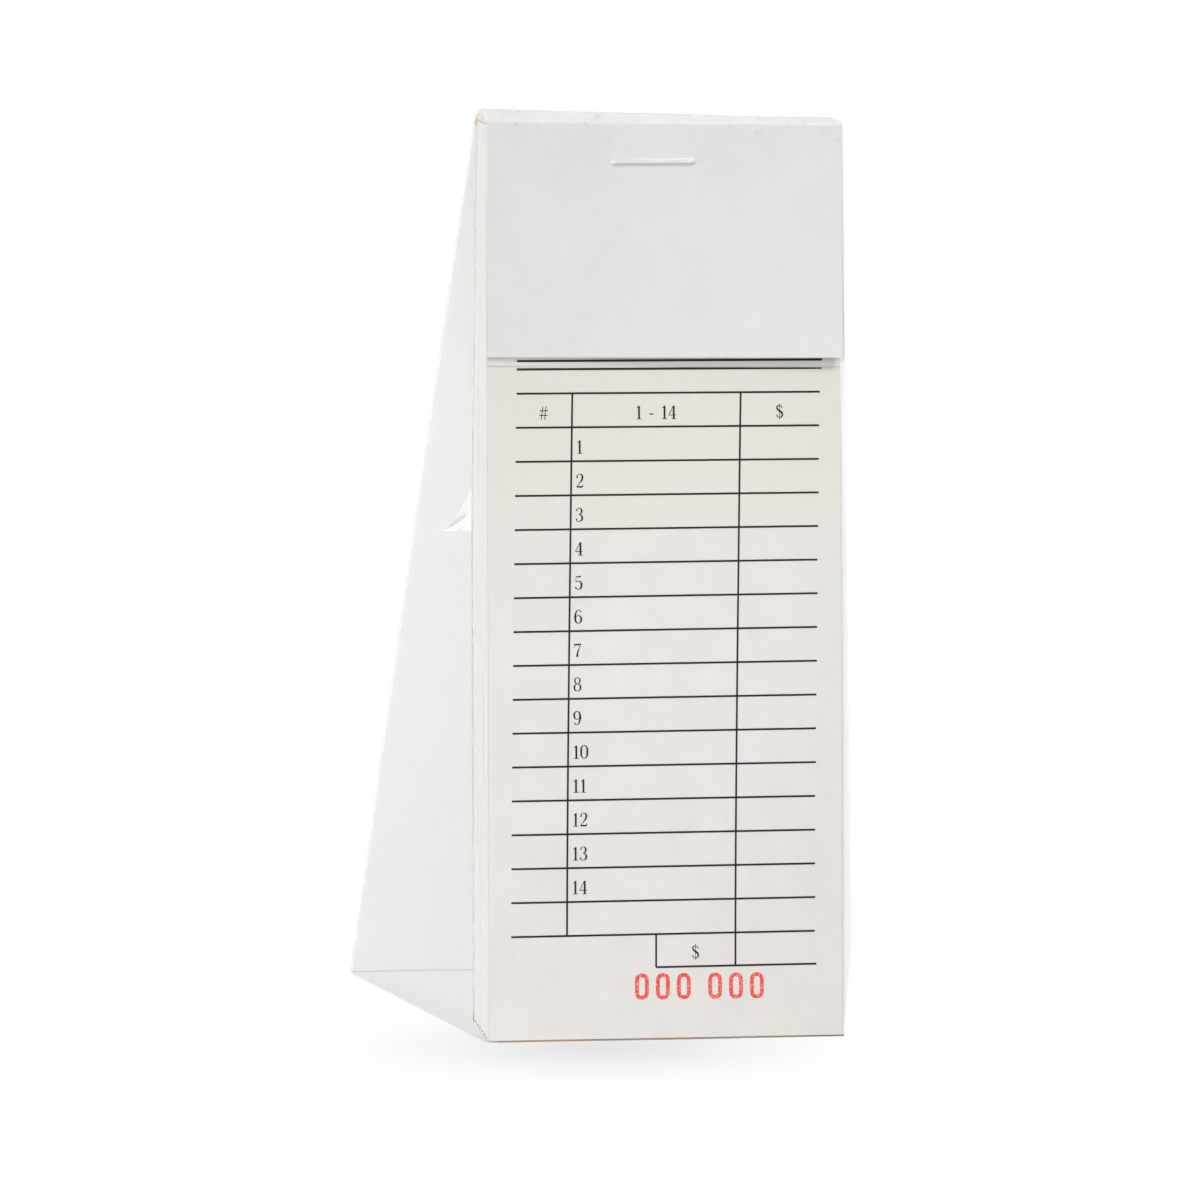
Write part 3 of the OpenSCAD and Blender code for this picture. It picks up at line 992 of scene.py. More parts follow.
@dataclass(frozen=True)
class TicketPrint:
    """The printed form: where its rules, columns and figures stand."""

    left: float = -27.85
    right: float = 26.45
    columns: Span = (-17.93, 12.17)
    head_rule: float = 107.68
    row_pitch: float = 5.624
    rows: int = 16
    total_left: float = -2.05
    total_rule: float = 12.2
    stub_rule: float = 113.07
    leaf_rule: float = 111.69
    leaf_head: float = 111.90
    head_knots: int = 18
    head_over: float = 0.25
    end_over: float = 0.3
    ragged: float = 0.15
    rule_width: float = 0.34
    thick_rule: float = 0.39
    lean_across: float = 1.30
    lean_power: float = 1.5
    rise: float = 0.0052
    rise_swell: float = 0.0046
    swell_at: float = 74.0
    swell_reach: float = 27.0
    figure_high: float = 2.3
    figure_inset: float = 0.85
    baseline: float = 1.25
    numbered_rows: int = 14
    serial_left: float = -5.77
    serial_foot: float = 6.85
    serial_high: float = 4.35
    serial_pitch: float = 3.75
    serial_gap: float = 5.6
    serial_rise: float = -0.006
    serial_groups: int = 2
    serial_figures: int = 3
    stub_rules: tuple[float, ...] = (135.9, 131.7, 124.5)
    stub_columns: tuple[float, ...] = (-18.8, -10.4, 1.6, 17.4)
    stub_middle: float = 130.0

    @property
    def foot_rule(self) -> float:
        """The height of the table's last rule."""
        return self.head_rule - self.rows * self.row_pitch

    def drift(self, z: float) -> float:
        """How far the print wanders to the right at a height."""
        t = (z - self.foot_rule) / (self.head_rule - self.foot_rule)
        return self.lean_across * max(0.0, t) ** self.lean_power

    def slope(self, z: float) -> float:
        """How far a rule rises per mm to the right at a height."""
        return self.rise + self.rise_swell * bell((z - self.swell_at) / self.swell_reach)

    def at(self, x: float, z: float) -> Span:
        """Where a point of the straight form lands on the sheet."""
        return x + self.drift(z), z + x * self.slope(z)

    def across(self, pen: Pen, x0: float, x1: float, z: float, width: float) -> None:
        """Draws a rule across the form."""
        pen.rule(self.at(x0, z), self.at(x1, z), width)

    def down(self, pen: Pen, x: float, z0: float, z1: float, width: float) -> None:
        """Draws a rule down the form, bent with the print."""
        count = max(2, math.ceil(abs(z1 - z0) / pen.pitch))
        heights = [lerp(z0, z1, i / count) for i in range(count + 1)]
        pen.ribbon([(*self.at(x, z), width) for z in heights])

    def head_line(self, pen: Pen) -> None:
        """Draws the leaf's first rule, which stays below the leaf's head."""
        x0, z0 = self.at(self.left, self.leaf_rule)
        x1, z1 = self.at(self.right + self.head_over, self.leaf_rule)
        knots = []
        for i in range(self.head_knots + 1):
            t = i / self.head_knots
            middle, half = lerp(z0, z1, t), self.thick_rule / 2
            foot, top = middle - half, min(middle + half, self.leaf_head)
            knots.append((lerp(x0, x1, t), (foot + top) / 2, top - foot))
        pen.ribbon(knots)

    def draw_table(self, pen: Pen) -> None:
        """Draws the leaf's table and its total box."""
        width = self.rule_width
        self.head_line(pen)
        for row in range(self.rows + 1):
            end = self.right + self.ragged * noise.noise(Vector((row * 1.7, 3, 5)))
            self.across(pen, self.left, end, self.head_rule - row * self.row_pitch, width)
        self.down(pen, self.columns[0], self.head_rule, self.foot_rule, width)
        self.down(pen, self.columns[1], self.head_rule, self.total_rule, width)
        self.down(pen, self.total_left, self.foot_rule, self.total_rule, width)
        self.across(pen, self.total_left, self.right + self.end_over, self.total_rule, width)

    def draw_figures(self, pen: Pen) -> None:
        """Writes the row numbers and the column signs."""
        high = self.figure_high
        for row in range(self.numbered_rows):
            foot = self.head_rule - (row + 2) * self.row_pitch + self.baseline
            x, z = self.at(self.columns[0] + self.figure_inset, foot)
            pen.write(str(row + 1), x, z, high, self.slope(foot))
        head = self.head_rule - self.row_pitch + self.baseline
        total = self.total_rule + self.baseline
        edges = (self.left, *self.columns, self.right)
        middles = [(a + b) / 2 for a, b in zip(edges, edges[1:])]
        labels = [("#", middles[0], head), ("1 - 14", middles[1], head), ("$", middles[2], head),
                  ("$", (self.total_left + self.columns[1]) / 2, total)]
        for text, middle, foot in labels:
            x, z = self.at(middle - text_width(text, high) / 2, foot)
            pen.write(text, x, z, high, self.slope(foot))

    def draw_serial(self, pen: Pen) -> None:
        """Stamps the serial number, two groups of three figures."""
        left, foot = self.serial_left, self.serial_foot
        for place in range(1, self.serial_groups * self.serial_figures + 1):
            pen.stroke(STAMPED_ZERO, left, foot, self.serial_high, self.serial_rise)
            step = self.serial_pitch if place % self.serial_figures else self.serial_gap
            left, foot = left + step, foot + step * self.serial_rise

    def draw_stub(self, pen: Pen) -> None:
        """Draws the stub's last rule and its small table."""
        self.across(pen, self.left, self.right + self.end_over, self.stub_rule, self.thick_rule)
        for z in self.stub_rules:
            self.across(pen, self.left, self.right, z, self.rule_width)
        top, foot, drift = self.stub_rules[0], self.stub_rules[-1], self.drift(self.stub_middle)
        for x in self.stub_columns:
            self.down(pen, x - drift, top, foot, self.rule_width)


@dataclass
class TicketLeaf:
    """One loose ticket of the first set below its tear line, with its print."""

    pad: PadFrame
    name: str
    node: str
    body: Body
    slot: Slot
    paper: bpy.types.Material
    palette: Palette
    form: TicketPrint
    bow: float
    curl: float
    columns: float = 3.2
    pitch: float = 2.6
    trim: float = 0.35
    foot_trim: float = 0.12
    half: float = 32.0
    wave: float = 0.10
    wave_pitch: Span = (0.045, 0.03)
    flat_sides: float = 0.25
    curl_middle: float = 0.55
    curl_power: int = 5

    def __post_init__(self) -> None:
        """Reads the leaf's own place from the CAD node."""
        self.low, self.high = self.pad.box(self.node)
        self.low.x += self.trim
        self.low.z += self.foot_trim
        self.thick = self.high.y - self.low.y

    def swell(self, x: float, z: float) -> float:
        """How far the paper stands off its flat place, towards the front, in mm."""
        t = (self.high.z - z) / (self.high.z - self.low.z)
        side = x / self.half
        across, up = self.wave_pitch
        wave = self.wave * noise.noise(Vector((x * across, z * up, 7.0)))
        arch = self.bow * math.sin(math.pi * min(1.0, t))
        belly = arch * (1 - self.flat_sides * side * side)
        foot = self.curl * t ** self.curl_power * lerp(self.curl_middle, 1.0, side)
        return max(0.0, belly + foot + wave * arch)

    def face(self, x: float, z: float, lift: float) -> Vector:
        """A point on the leaf's front, raised off it by a lift in mm."""
        return self.pad.point(x, self.low.y - self.swell(x, z) - lift, z)

    def build(self) -> None:
        """Makes the leaf and its print and lets them ride."""
        xs = steps((self.low.x, self.high.x, self.columns))
        zs = steps((self.low.z, self.high.z, self.pitch))
        front = [[self.face(x, z, 0) for x in xs] for z in zs]
        back = [[self.face(x, z, -self.thick) for x in xs] for z in zs]
        leaf = Maker.piece(self.name, Maker.sheet(front, back), self.slot, self.paper)
        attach(leaf, self.body.value)
        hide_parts(self.node)
        PrintedSheet(
            self.name, self.face, self.body, self.slot, self.palette, self.form
        ).build(table=True)


@dataclass
class PrintedSheet:
    """The ink of one sheet, as rules, figures and a stamped number."""

    name: str
    surface: Surface
    body: Body
    slot: Slot
    palette: Palette
    form: TicketPrint
    film: float = 0.014

    def build(self, table: bool = False, stub: bool = False) -> None:
        """Lays the ink.

        Args:
            table: whether the sheet carries the ruled form and the serial.
            stub: whether it carries the stub's rules.
        """
        jobs: list[tuple[str, list[Callable[[Pen], None]], bpy.types.Material]] = []
        rules: list[Callable[[Pen], None]] = []
        if table:
            rules.append(self.form.draw_table)
            jobs.append(("figures", [self.form.draw_figures], self.palette.black_ink))
            jobs.append(("serial", [self.form.draw_serial], self.palette.red_ink))
        if stub:
            rules.append(self.form.draw_stub)
        jobs.append(("rules", rules, self.palette.black_ink))
        for part, draws, ink in jobs:
            pen = Pen(self.surface, self.film)
            for draw in draws:
                draw(pen)
            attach(Maker.piece(f"{self.name}_{part}", pen.mesh, self.slot, ink), self.body.value)


@dataclass
class TicketPad:
    """The fixed stack: CAD sheets, board, staple and glue with their finishes."""

    pad: PadFrame
    palette: Palette
    form: TicketPrint
    stack_film: float = 0.007
    trim: float = 0.35
    slit: float = -0.02
    copy_slit: float = 0.12
    pitch: float = 8.0

    def dress(self) -> None:
        """Gives each CAD node that stays its finish."""
        p = self.palette
        finishes: dict[str, bpy.types.Material] = {
            "original_2": p.fresh_copy, "duplicate_2": p.fresh_copy,
            "backing_board": p.board, "staple": p.wire, "head_glue": p.glue, "band_glue": p.paste,
        }
        finishes |= {name: p.stack for name in frame["nodes"] if name.startswith("ticket_bundle")}
        for name, material in finishes.items():
            slots = frame["nodes"][name].data.materials
            slots.clear()
            slots.append(material)
            log.info("%s: %s", name, material.name)

    def face_of(self, node: str) -> Surface:
        """The front face of a flat CAD sheet, as a surface to print on."""
        front = self.pad.box(node)[0].y
        return lambda x, z, lift: self.pad.point(x, front - lift, z)

    def stub_sheet(
        self, node: str, name: str, slot: Slot, paper: bpy.types.Material, slit: float
    ) -> None:
        """Makes a stub of the first set, trimmed flush with the cover at the left.

        Args:
            node: the CAD node that it replaces.
            name: the piece's name.
            slot: the record's slot of its finish.
            paper: its finish.
            slit: how far its foot comes down into the tear line, in mm, or stops
                short of it where this is below 0.
        """
        low, high = self.pad.box(node)
        xs = steps((low.x + self.trim, high.x, self.pitch))
        zs = steps((low.z - slit, high.z, self.pitch))
        front, back = (
            [[self.pad.point(x, y, z) for x in xs] for z in zs] for y in (low.y, high.y)
        )
        made = Maker.piece(name, Maker.sheet(front, back), slot, paper)
        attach(made, Body.PAD.value)
        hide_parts(node)

    def build(self) -> None:
        """Dresses the stack and prints the sheets that can be uncovered."""
        self.dress()
        top, under = self.palette.top_copy, self.palette.under_copy
        self.stub_sheet("original_1_stub", "stub_sheet", Slot.TOP_COPY, top, self.slit)
        self.stub_sheet(
            "duplicate_1_stub", "copy_stub_sheet", Slot.UNDER_COPY, under, self.copy_slit
        )
        PrintedSheet(
            "stub", self.face_of("original_1_stub"), Body.PAD, Slot.TOP_COPY,
            self.palette, self.form,
        ).build(stub=True)
        PrintedSheet(
            "next_ticket", self.face_of("original_2"), Body.PAD, Slot.TOP_COPY,
            self.palette, self.form, self.stack_film,
        ).build(table=True)


@dataclass(frozen=True)
class CardGrid:
    """How fine the cover's mesh is, and how far its finer parts reach, in mm."""

    flap: float = 1.6
    bend: float = 0.2
    bend_reach: float = 1.4
    band: float = 1.0
    crown: float = 0.09
    by_crown: float = 0.3
    crown_below: float = 2.0
    crown_above: float = 1.8
    crown_beside: float = 1.8
    ease_below: float = 1.2
    ease_above: float = 1.0
    head: float = 0.9
    across: float = 1.9
    across_crown: float = 0.3
    across_leg: float = 2.2


@dataclass
class CoverCard:
    """The white card cover: flap and glued band in front, roof and leg behind."""

    pad: PadFrame
    palette: Palette
    grid: CardGrid = CardGrid()
    thick: float = 0.3
    crease_height: float = 152.2
    crease_turn: float = 0.03
    front_radius: float = 0.32
    radius_at_end: float = 0.35
    radius_middle: Span = (0.3, 0.45)
    end_round: float = 0.45
    end_steps: int = 8
    end_gap: float = 0.17
    lift_left: float = 0.02
    lift_right: float = 1.2
    lift_power: float = 1.35
    wave: float = 0.10
    wave_pitch: float = 0.05
    taper: float = 0.5
    crest_left: Knot = (2.45, 154.55, 154.35)
    crest_right: Knot = (2.10, 153.30, 153.45)
    shoulder_depth: float = 0.62
    shoulder_rise: float = 0.76
    rear_depth: float = 0.50
    rear_inset: float = 0.42
    rear_rise: Span = (0.05, 0.22)
    leg_knots: Knot = (0.55, 1.6, 3.2)
    ridge_high: float = 0.34
    ridge_upper: Span = (0.15, 0.62)
    ridge_lower: Span = (0.20, 0.38)
    ridge_rise: float = 0.012
    ridge_end: Span = (0.55, 0.6)
    knuckle: Knot = (0.10, 0.35, 0.55)
    dimple: Knot = (0.07, 0.95, 0.6)
    valley: Knot = (0.05, 0.85, 0.4)
    valley_end: Span = (0.4, 0.8)
    roof_steps: int = 4
    seam_step: int = 22
    leg_steps: int = 46
    leg_crowd: float = 1.15
    leg_bow: float = 0.45
    leg_wave: float = 0.12
    leg_wave_pitch: Span = (0.04, 4.0)
    flap_zone: float = 1.1
    leg_zone: Span = (0.85, 1.2)
    leg_zone_fall: float = 0.29

    def __post_init__(self) -> None:
        """Reads the cover's places from the CAD nodes and hinges."""
        self.half = self.pad.box("cover_band")[1].x
        self.bend = self.pad.hinge("flap_lift")
        self.fold = self.pad.hinge("leg_swing")
        self.edge = self.pad.box("cover_flap")[0].z
        self.crown_low, self.crown_high = self.pad.box("staple")
        self.face = self.pad.box("band_glue")[0].y - self.thick / 2
        self.roof_front = self.pad.box("cover_spine")[0].z + self.thick / 2
        glue = self.pad.spots("head_glue")
        self.glue_front = max((s for s in glue if s.y < 1), key=lambda s: s.z)
        self.glue_rear = max(glue, key=lambda s: s.z)
        spots = self.pad.spots("back_cover")
        reach = max((s - self.fold).yz.length for s in spots)
        far = [s for s in spots if (s - self.fold).yz.length > reach - self.thick]
        self.foot = Vector((0, sum(s.y for s in far) / len(far), sum(s.z for s in far) / len(far)))

    def emboss(self, x: float, z: float) -> float:
        """How far the card stands up over the staple's crown, in mm."""
        middle = (self.crown_low.x + self.crown_high.x) / 2
        crown = (self.crown_low.z + self.crown_high.z) / 2
        away = z - crown - self.ridge_rise * (x - middle)
        inside = min(x - self.crown_low.x, self.crown_high.x - x)
        top, foot = self.ridge_upper if away > 0 else self.ridge_lower
        past, run = self.ridge_end
        ridge = self.ridge_high * smooth((foot - abs(away)) / (foot - top))
        ridge *= smooth((inside + past) / run)
        high, place, wide = self.knuckle
        knuckle = high * bell(math.hypot(inside - place, away) / wide)
        deep, place, wide = self.dimple
        dimple = deep * bell(math.hypot(inside + place, away) / wide)
        deep, place, wide = self.valley
        past, run = self.valley_end
        valley = deep * bell((away + place) / wide) * smooth((inside + past) / run)
        return ridge + knuckle - dimple - valley

    def side(self, x: float) -> float:
        """How far across the cover an x is, from 0 at the left to 1 at the right."""
        return (x / self.half + 1) / 2

    def fall(self, z: float) -> float:
        """How far below the bend a height is, from 0 there to 1 at the free edge."""
        return max(0.0, (self.bend.z - z) / (self.bend.z - self.edge))

    def flap_stand(self, x: float, z: float) -> float:
        """How far the flap stands off the tickets at its free part, in mm."""
        t = self.fall(z)
        lift = lerp(self.lift_left, self.lift_right, self.side(x))
        wave = self.wave * noise.noise(Vector((x * self.wave_pitch, z * self.wave_pitch, 2.0)))
        return lift * t ** self.lift_power + wave * smooth(t * 2)

    def drawn(self, x: float, z: float) -> float:
        """Where an x lands on the front at a height, as the flap narrows at its right side."""
        return x - self.taper * min(1.0, self.fall(z)) * max(0.0, x / self.half)

    def glue_top(self, y: float) -> float:
        """Where the card's middle line lies on the glue at a depth."""
        t = (y - self.glue_front.y) / (self.glue_rear.y - self.glue_front.y)
        return lerp(self.glue_front.z, self.glue_rear.z, t) + self.end_gap

    def roof_knots(self, x: float) -> list[Vector]:
        """Knots of the roof's middle line.

        Args:
            x: the place across the book.

        Returns:
            The knots, from the crease in front over the arch to the leg.
        """
        crests = zip(self.crest_left, self.crest_right)
        depth, top, rear_top = (lerp(a, b, self.side(x)) for a, b in crests)
        inset = min(1.0, (x + self.half) / self.end_round)
        dome = math.sqrt(max(0.0, 1 - (1 - inset) ** 2))
        shoulder = lerp(self.face, depth, self.shoulder_depth)
        shoulder_top = lerp(self.roof_front, top, self.shoulder_rise)
        rear = lerp(depth, self.fold.y, self.rear_depth)
        turn = self.front_radius * lerp(self.radius_at_end, 1.0, dome)
        turn_in, turn_up = self.radius_middle
        down = (self.foot - self.fold).normalized()
        spots = [
            (self.face, self.crease_height), (self.face, self.crease_height + self.crease_turn),
            (self.face + turn_in * turn, self.roof_front + turn_up * turn),
            (self.face + turn, self.roof_front + turn),
            (shoulder, lerp(self.glue_top(shoulder), shoulder_top, dome)),
            (depth, lerp(self.glue_top(depth), top, dome)),
            (rear, lerp(self.glue_top(rear), rear_top, dome)),
            (self.fold.y - self.rear_inset, self.fold.z + lerp(*self.rear_rise, dome)),
            *((self.fold + down * far).yz for far in self.leg_knots),
        ]
        return [Vector((0, y, z)) for y, z in spots]

    def front_heights(self) -> list[float]:
        """Heights of the grid lines of the flap and band, up to the crease."""
        grid, bend = self.grid, self.bend.z
        low, high = self.crown_low.z - grid.crown_below, self.crown_high.z + grid.crown_above
        bend_low, bend_high = bend - grid.bend_reach, bend + grid.bend_reach
        crown_low, crown_high = low + grid.ease_below, high - grid.ease_above
        return steps(
            (self.edge, bend_low, grid.flap), (bend_low, bend_high, grid.bend),
            (bend_high, low, grid.band), (low, crown_low, grid.by_crown),
            (crown_low, crown_high, grid.crown), (crown_high, high, grid.by_crown),
            (high, self.crease_height, grid.head),
        )

    def leg_line(self, x: float, top: Vector) -> list[Vector]:
        """The leg's middle line at one x, slightly bowed, from its top to its foot."""
        foot = self.foot
        out = Vector((0, top.z - foot.z, foot.y - top.y)).normalized()
        across, down = self.leg_wave_pitch
        line = []
        for i in range(self.leg_steps + 1):
            t = (i / self.leg_steps) ** self.leg_crowd
            arch = math.sin(math.pi * t)
            wave = self.leg_wave * noise.noise(Vector((x * across, t * down, 11.0))) * arch
            line.append(top.lerp(foot, t) + out * (self.leg_bow * arch ** 2 + wave))
        return line

    def middle_line(self, x: float) -> list[tuple[Vector, Vector]]:
        """The card's middle line at one x.

        Args:
            x: the place across the book.

        Returns:
            Points with outward directions, from the flap's free edge over the
            roof to the foot of the leg.
        """
        front = [
            Vector((0, self.face - self.emboss(x, z) - self.flap_stand(x, z), z))
            for z in self.front_heights()
        ]
        knots = self.roof_knots(x)
        line = [front[-1]]
        for i in range(1, len(knots) - 2):
            for step in range(self.roof_steps):
                line.append(Vector(Pen.curve(*knots[i - 1:i + 3], step / self.roof_steps)))
        line += self.leg_line(x, knots[-2])
        made = [(spot, Vector((0, -1, 0))) for spot in front]
        for i in range(1, len(line)):
            way = line[min(i + 1, len(line) - 1)] - line[i - 1]
            made.append((line[i], Vector((0, -way.z, way.y)).normalized()))
        return made

    def spot(self, x: float, middle: Vector, out: Vector) -> Vector:
        """A point of the card off its middle line, in the CAD frame."""
        across = self.drawn(x, middle.z) if middle.y < 0 else x
        return self.pad.point(across, *(middle + out).yz)

    def card(
        self, name: str, xs: list[float], rows: slice, *finishes: bpy.types.Material
    ) -> bpy.types.Object:
        """Makes a stretch of the card.

        Args:
            name: the piece's name.
            xs: its grid lines across the book.
            rows: which points of the middle line it takes.
            finishes: its finish outside, inside and, if it differs, on its cut edges.

        Returns:
            The piece, not yet riding on a body.
        """
        lines = [(x, self.middle_line(x)[rows]) for x in xs]
        outside, inside = (
            [[self.spot(x, p, n * side * self.thick / 2) for p, n in line] for x, line in lines]
            for side in (1, -1)
        )
        rim = 2 if len(finishes) > 2 else 0
        sheet = Maker.sheet(outside, inside, two_sided=True, rim_finish=rim)
        return Maker.piece(name, sheet, Slot.CARD, *finishes)

    def build(self) -> None:
        """Makes the front card with the roof, and the leg, which meet behind the crest."""
        grid = self.grid
        inner = -self.half + self.end_round
        end = [inner - self.end_round * math.cos(math.pi / 2 * i / self.end_steps)
               for i in range(self.end_steps)]
        left, right = self.crown_low.x - grid.crown_beside, self.crown_high.x + grid.crown_beside
        across = steps(
            (inner, left, grid.across), (left, right, grid.across_crown),
            (right, self.half, grid.across),
        )
        seam = len(self.front_heights()) + self.seam_step
        front = self.card(
            "front_flap_card", end + across, slice(seam + 1), self.palette.card, self.palette.card
        )
        self.pad.point(0, self.bend.y, self.bend.z + self.flap_zone)
        self.pad.point(0, self.bend.y, self.bend.z - self.flap_zone)
        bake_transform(front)
        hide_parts("cover_band", "cover_flap", "cover_spine")
        # The leg takes the paler finishes: painted light, with painted shade towards its fold and
        # its foot.
        back = self.card(
            "back_leg_card", end + steps((inner, self.half, grid.across_leg)), slice(seam, None),
            self.palette.painted_light_leg_rear_face, self.palette.painted_light_leg_inner_face, self.palette.leg_edge,
        )
        down = (self.foot - self.fold).normalized()
        before, after = self.leg_zone
        self.pad.point(
                0, self.fold.y - before, self.fold.z - self.leg_zone_fall * before
            )
        self.pad.point(0, *(self.fold + down * after).yz)
        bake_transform(back)
        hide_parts("back_cover")


@dataclass
class RearLiner:
    """The paper behind the board, with its lower left corner creased outwards."""

    pad: PadFrame
    palette: Palette
    thick: float = 0.1
    clear: float = 0.005
    poke: float = 4.6
    poke_high: float = 7.5
    poke_power: float = 1.35
    crease: float = 0.8
    crease_rise: float = 2.6
    crease_wide: float = 0.5
    crease_tail: Span = (0.5, 2.0)
    crease_start: float = 3.0
    inner: float = 16.0
    corner_over: float = 2.0
    corner_pitch: Span = (0.4, 0.2)
    pitch: float = 3.0

    def build(self) -> None:
        """Makes the liner and lets it ride on the pad."""
        low, high = self.pad.box("rear_liner")
        side, rise = low.x + self.inner, low.z + self.poke_high + self.corner_over
        across, up = self.corner_pitch
        xs = steps((low.x, side, across), (side, high.x, self.pitch))
        zs = steps((low.z, rise, up), (rise, high.z, self.pitch))
        top, foot = self.pad.slant("rear_liner")
        faces: list[list[list[Vector]]] = []
        for lift in (self.clear, self.thick):
            grid = []
            for z in zs:
                share = min(1.0, (top.z - z) / (top.z - self.pad.KNEE))
                y = lerp(top.y, foot.y, share) + lift
                grid.append([self.spot(x, y, z, low) for x in xs])
            faces.append(grid)
        liner = Maker.piece("rear_liner_sheet", Maker.sheet(*faces), Slot.LINER, self.palette.liner)
        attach(liner, Body.PAD.value)
        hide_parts("rear_liner")

    def spot(self, x: float, y: float, z: float, low: Vector) -> Vector:
        """A point of the sheet, with its corner drawn out and creased.

        Args:
            x: the point's place across the flat sheet, in mm.
            y: its depth.
            z: its height.
            low: the sheet's lowest corner.

        Returns:
            The point in the CAD frame.
        """
        near = max(0.0, 1 - (x - low.x) / self.inner)
        fall = max(0.0, 1 - (z - low.z) / self.poke_high)
        x -= self.poke * near * fall ** self.poke_power
        out = max(0.0, (low.x - x) / self.poke)
        line = (z - low.z) - self.crease_rise * (1 - out)
        share, run = self.crease_tail
        fold = bell(line / self.crease_wide) + share * smooth(-line / run)
        return self.pad.point(x, y + self.crease * smooth(self.crease_start * out) * fold, z)


@dataclass(frozen=True)
class Softbox:
    """A square lamp that looks at the book, with its beam's spread in degrees."""

    name: str
    place: Knot
    size: float
    power: float
    spread: float = 180.0
    aim: Knot = (0, 0, 0.07)

    def hang(self) -> None:
        """Hangs the lamp where the camera doesn't see it."""
        data = bpy.data.lights.new(self.name, "AREA")
        data.shape, data.size, data.energy = "SQUARE", self.size, self.power
        data.spread = math.radians(self.spread)
        made = bpy.data.objects.new(self.name, data)
        made.visible_camera = False
        made.location = self.place
        made.rotation_mode = "QUATERNION"
        way = Vector(self.aim) - Vector(self.place)
        made.rotation_quaternion = way.to_track_quat("-Z", "Y")
        bpy.context.scene.collection.objects.link(made)


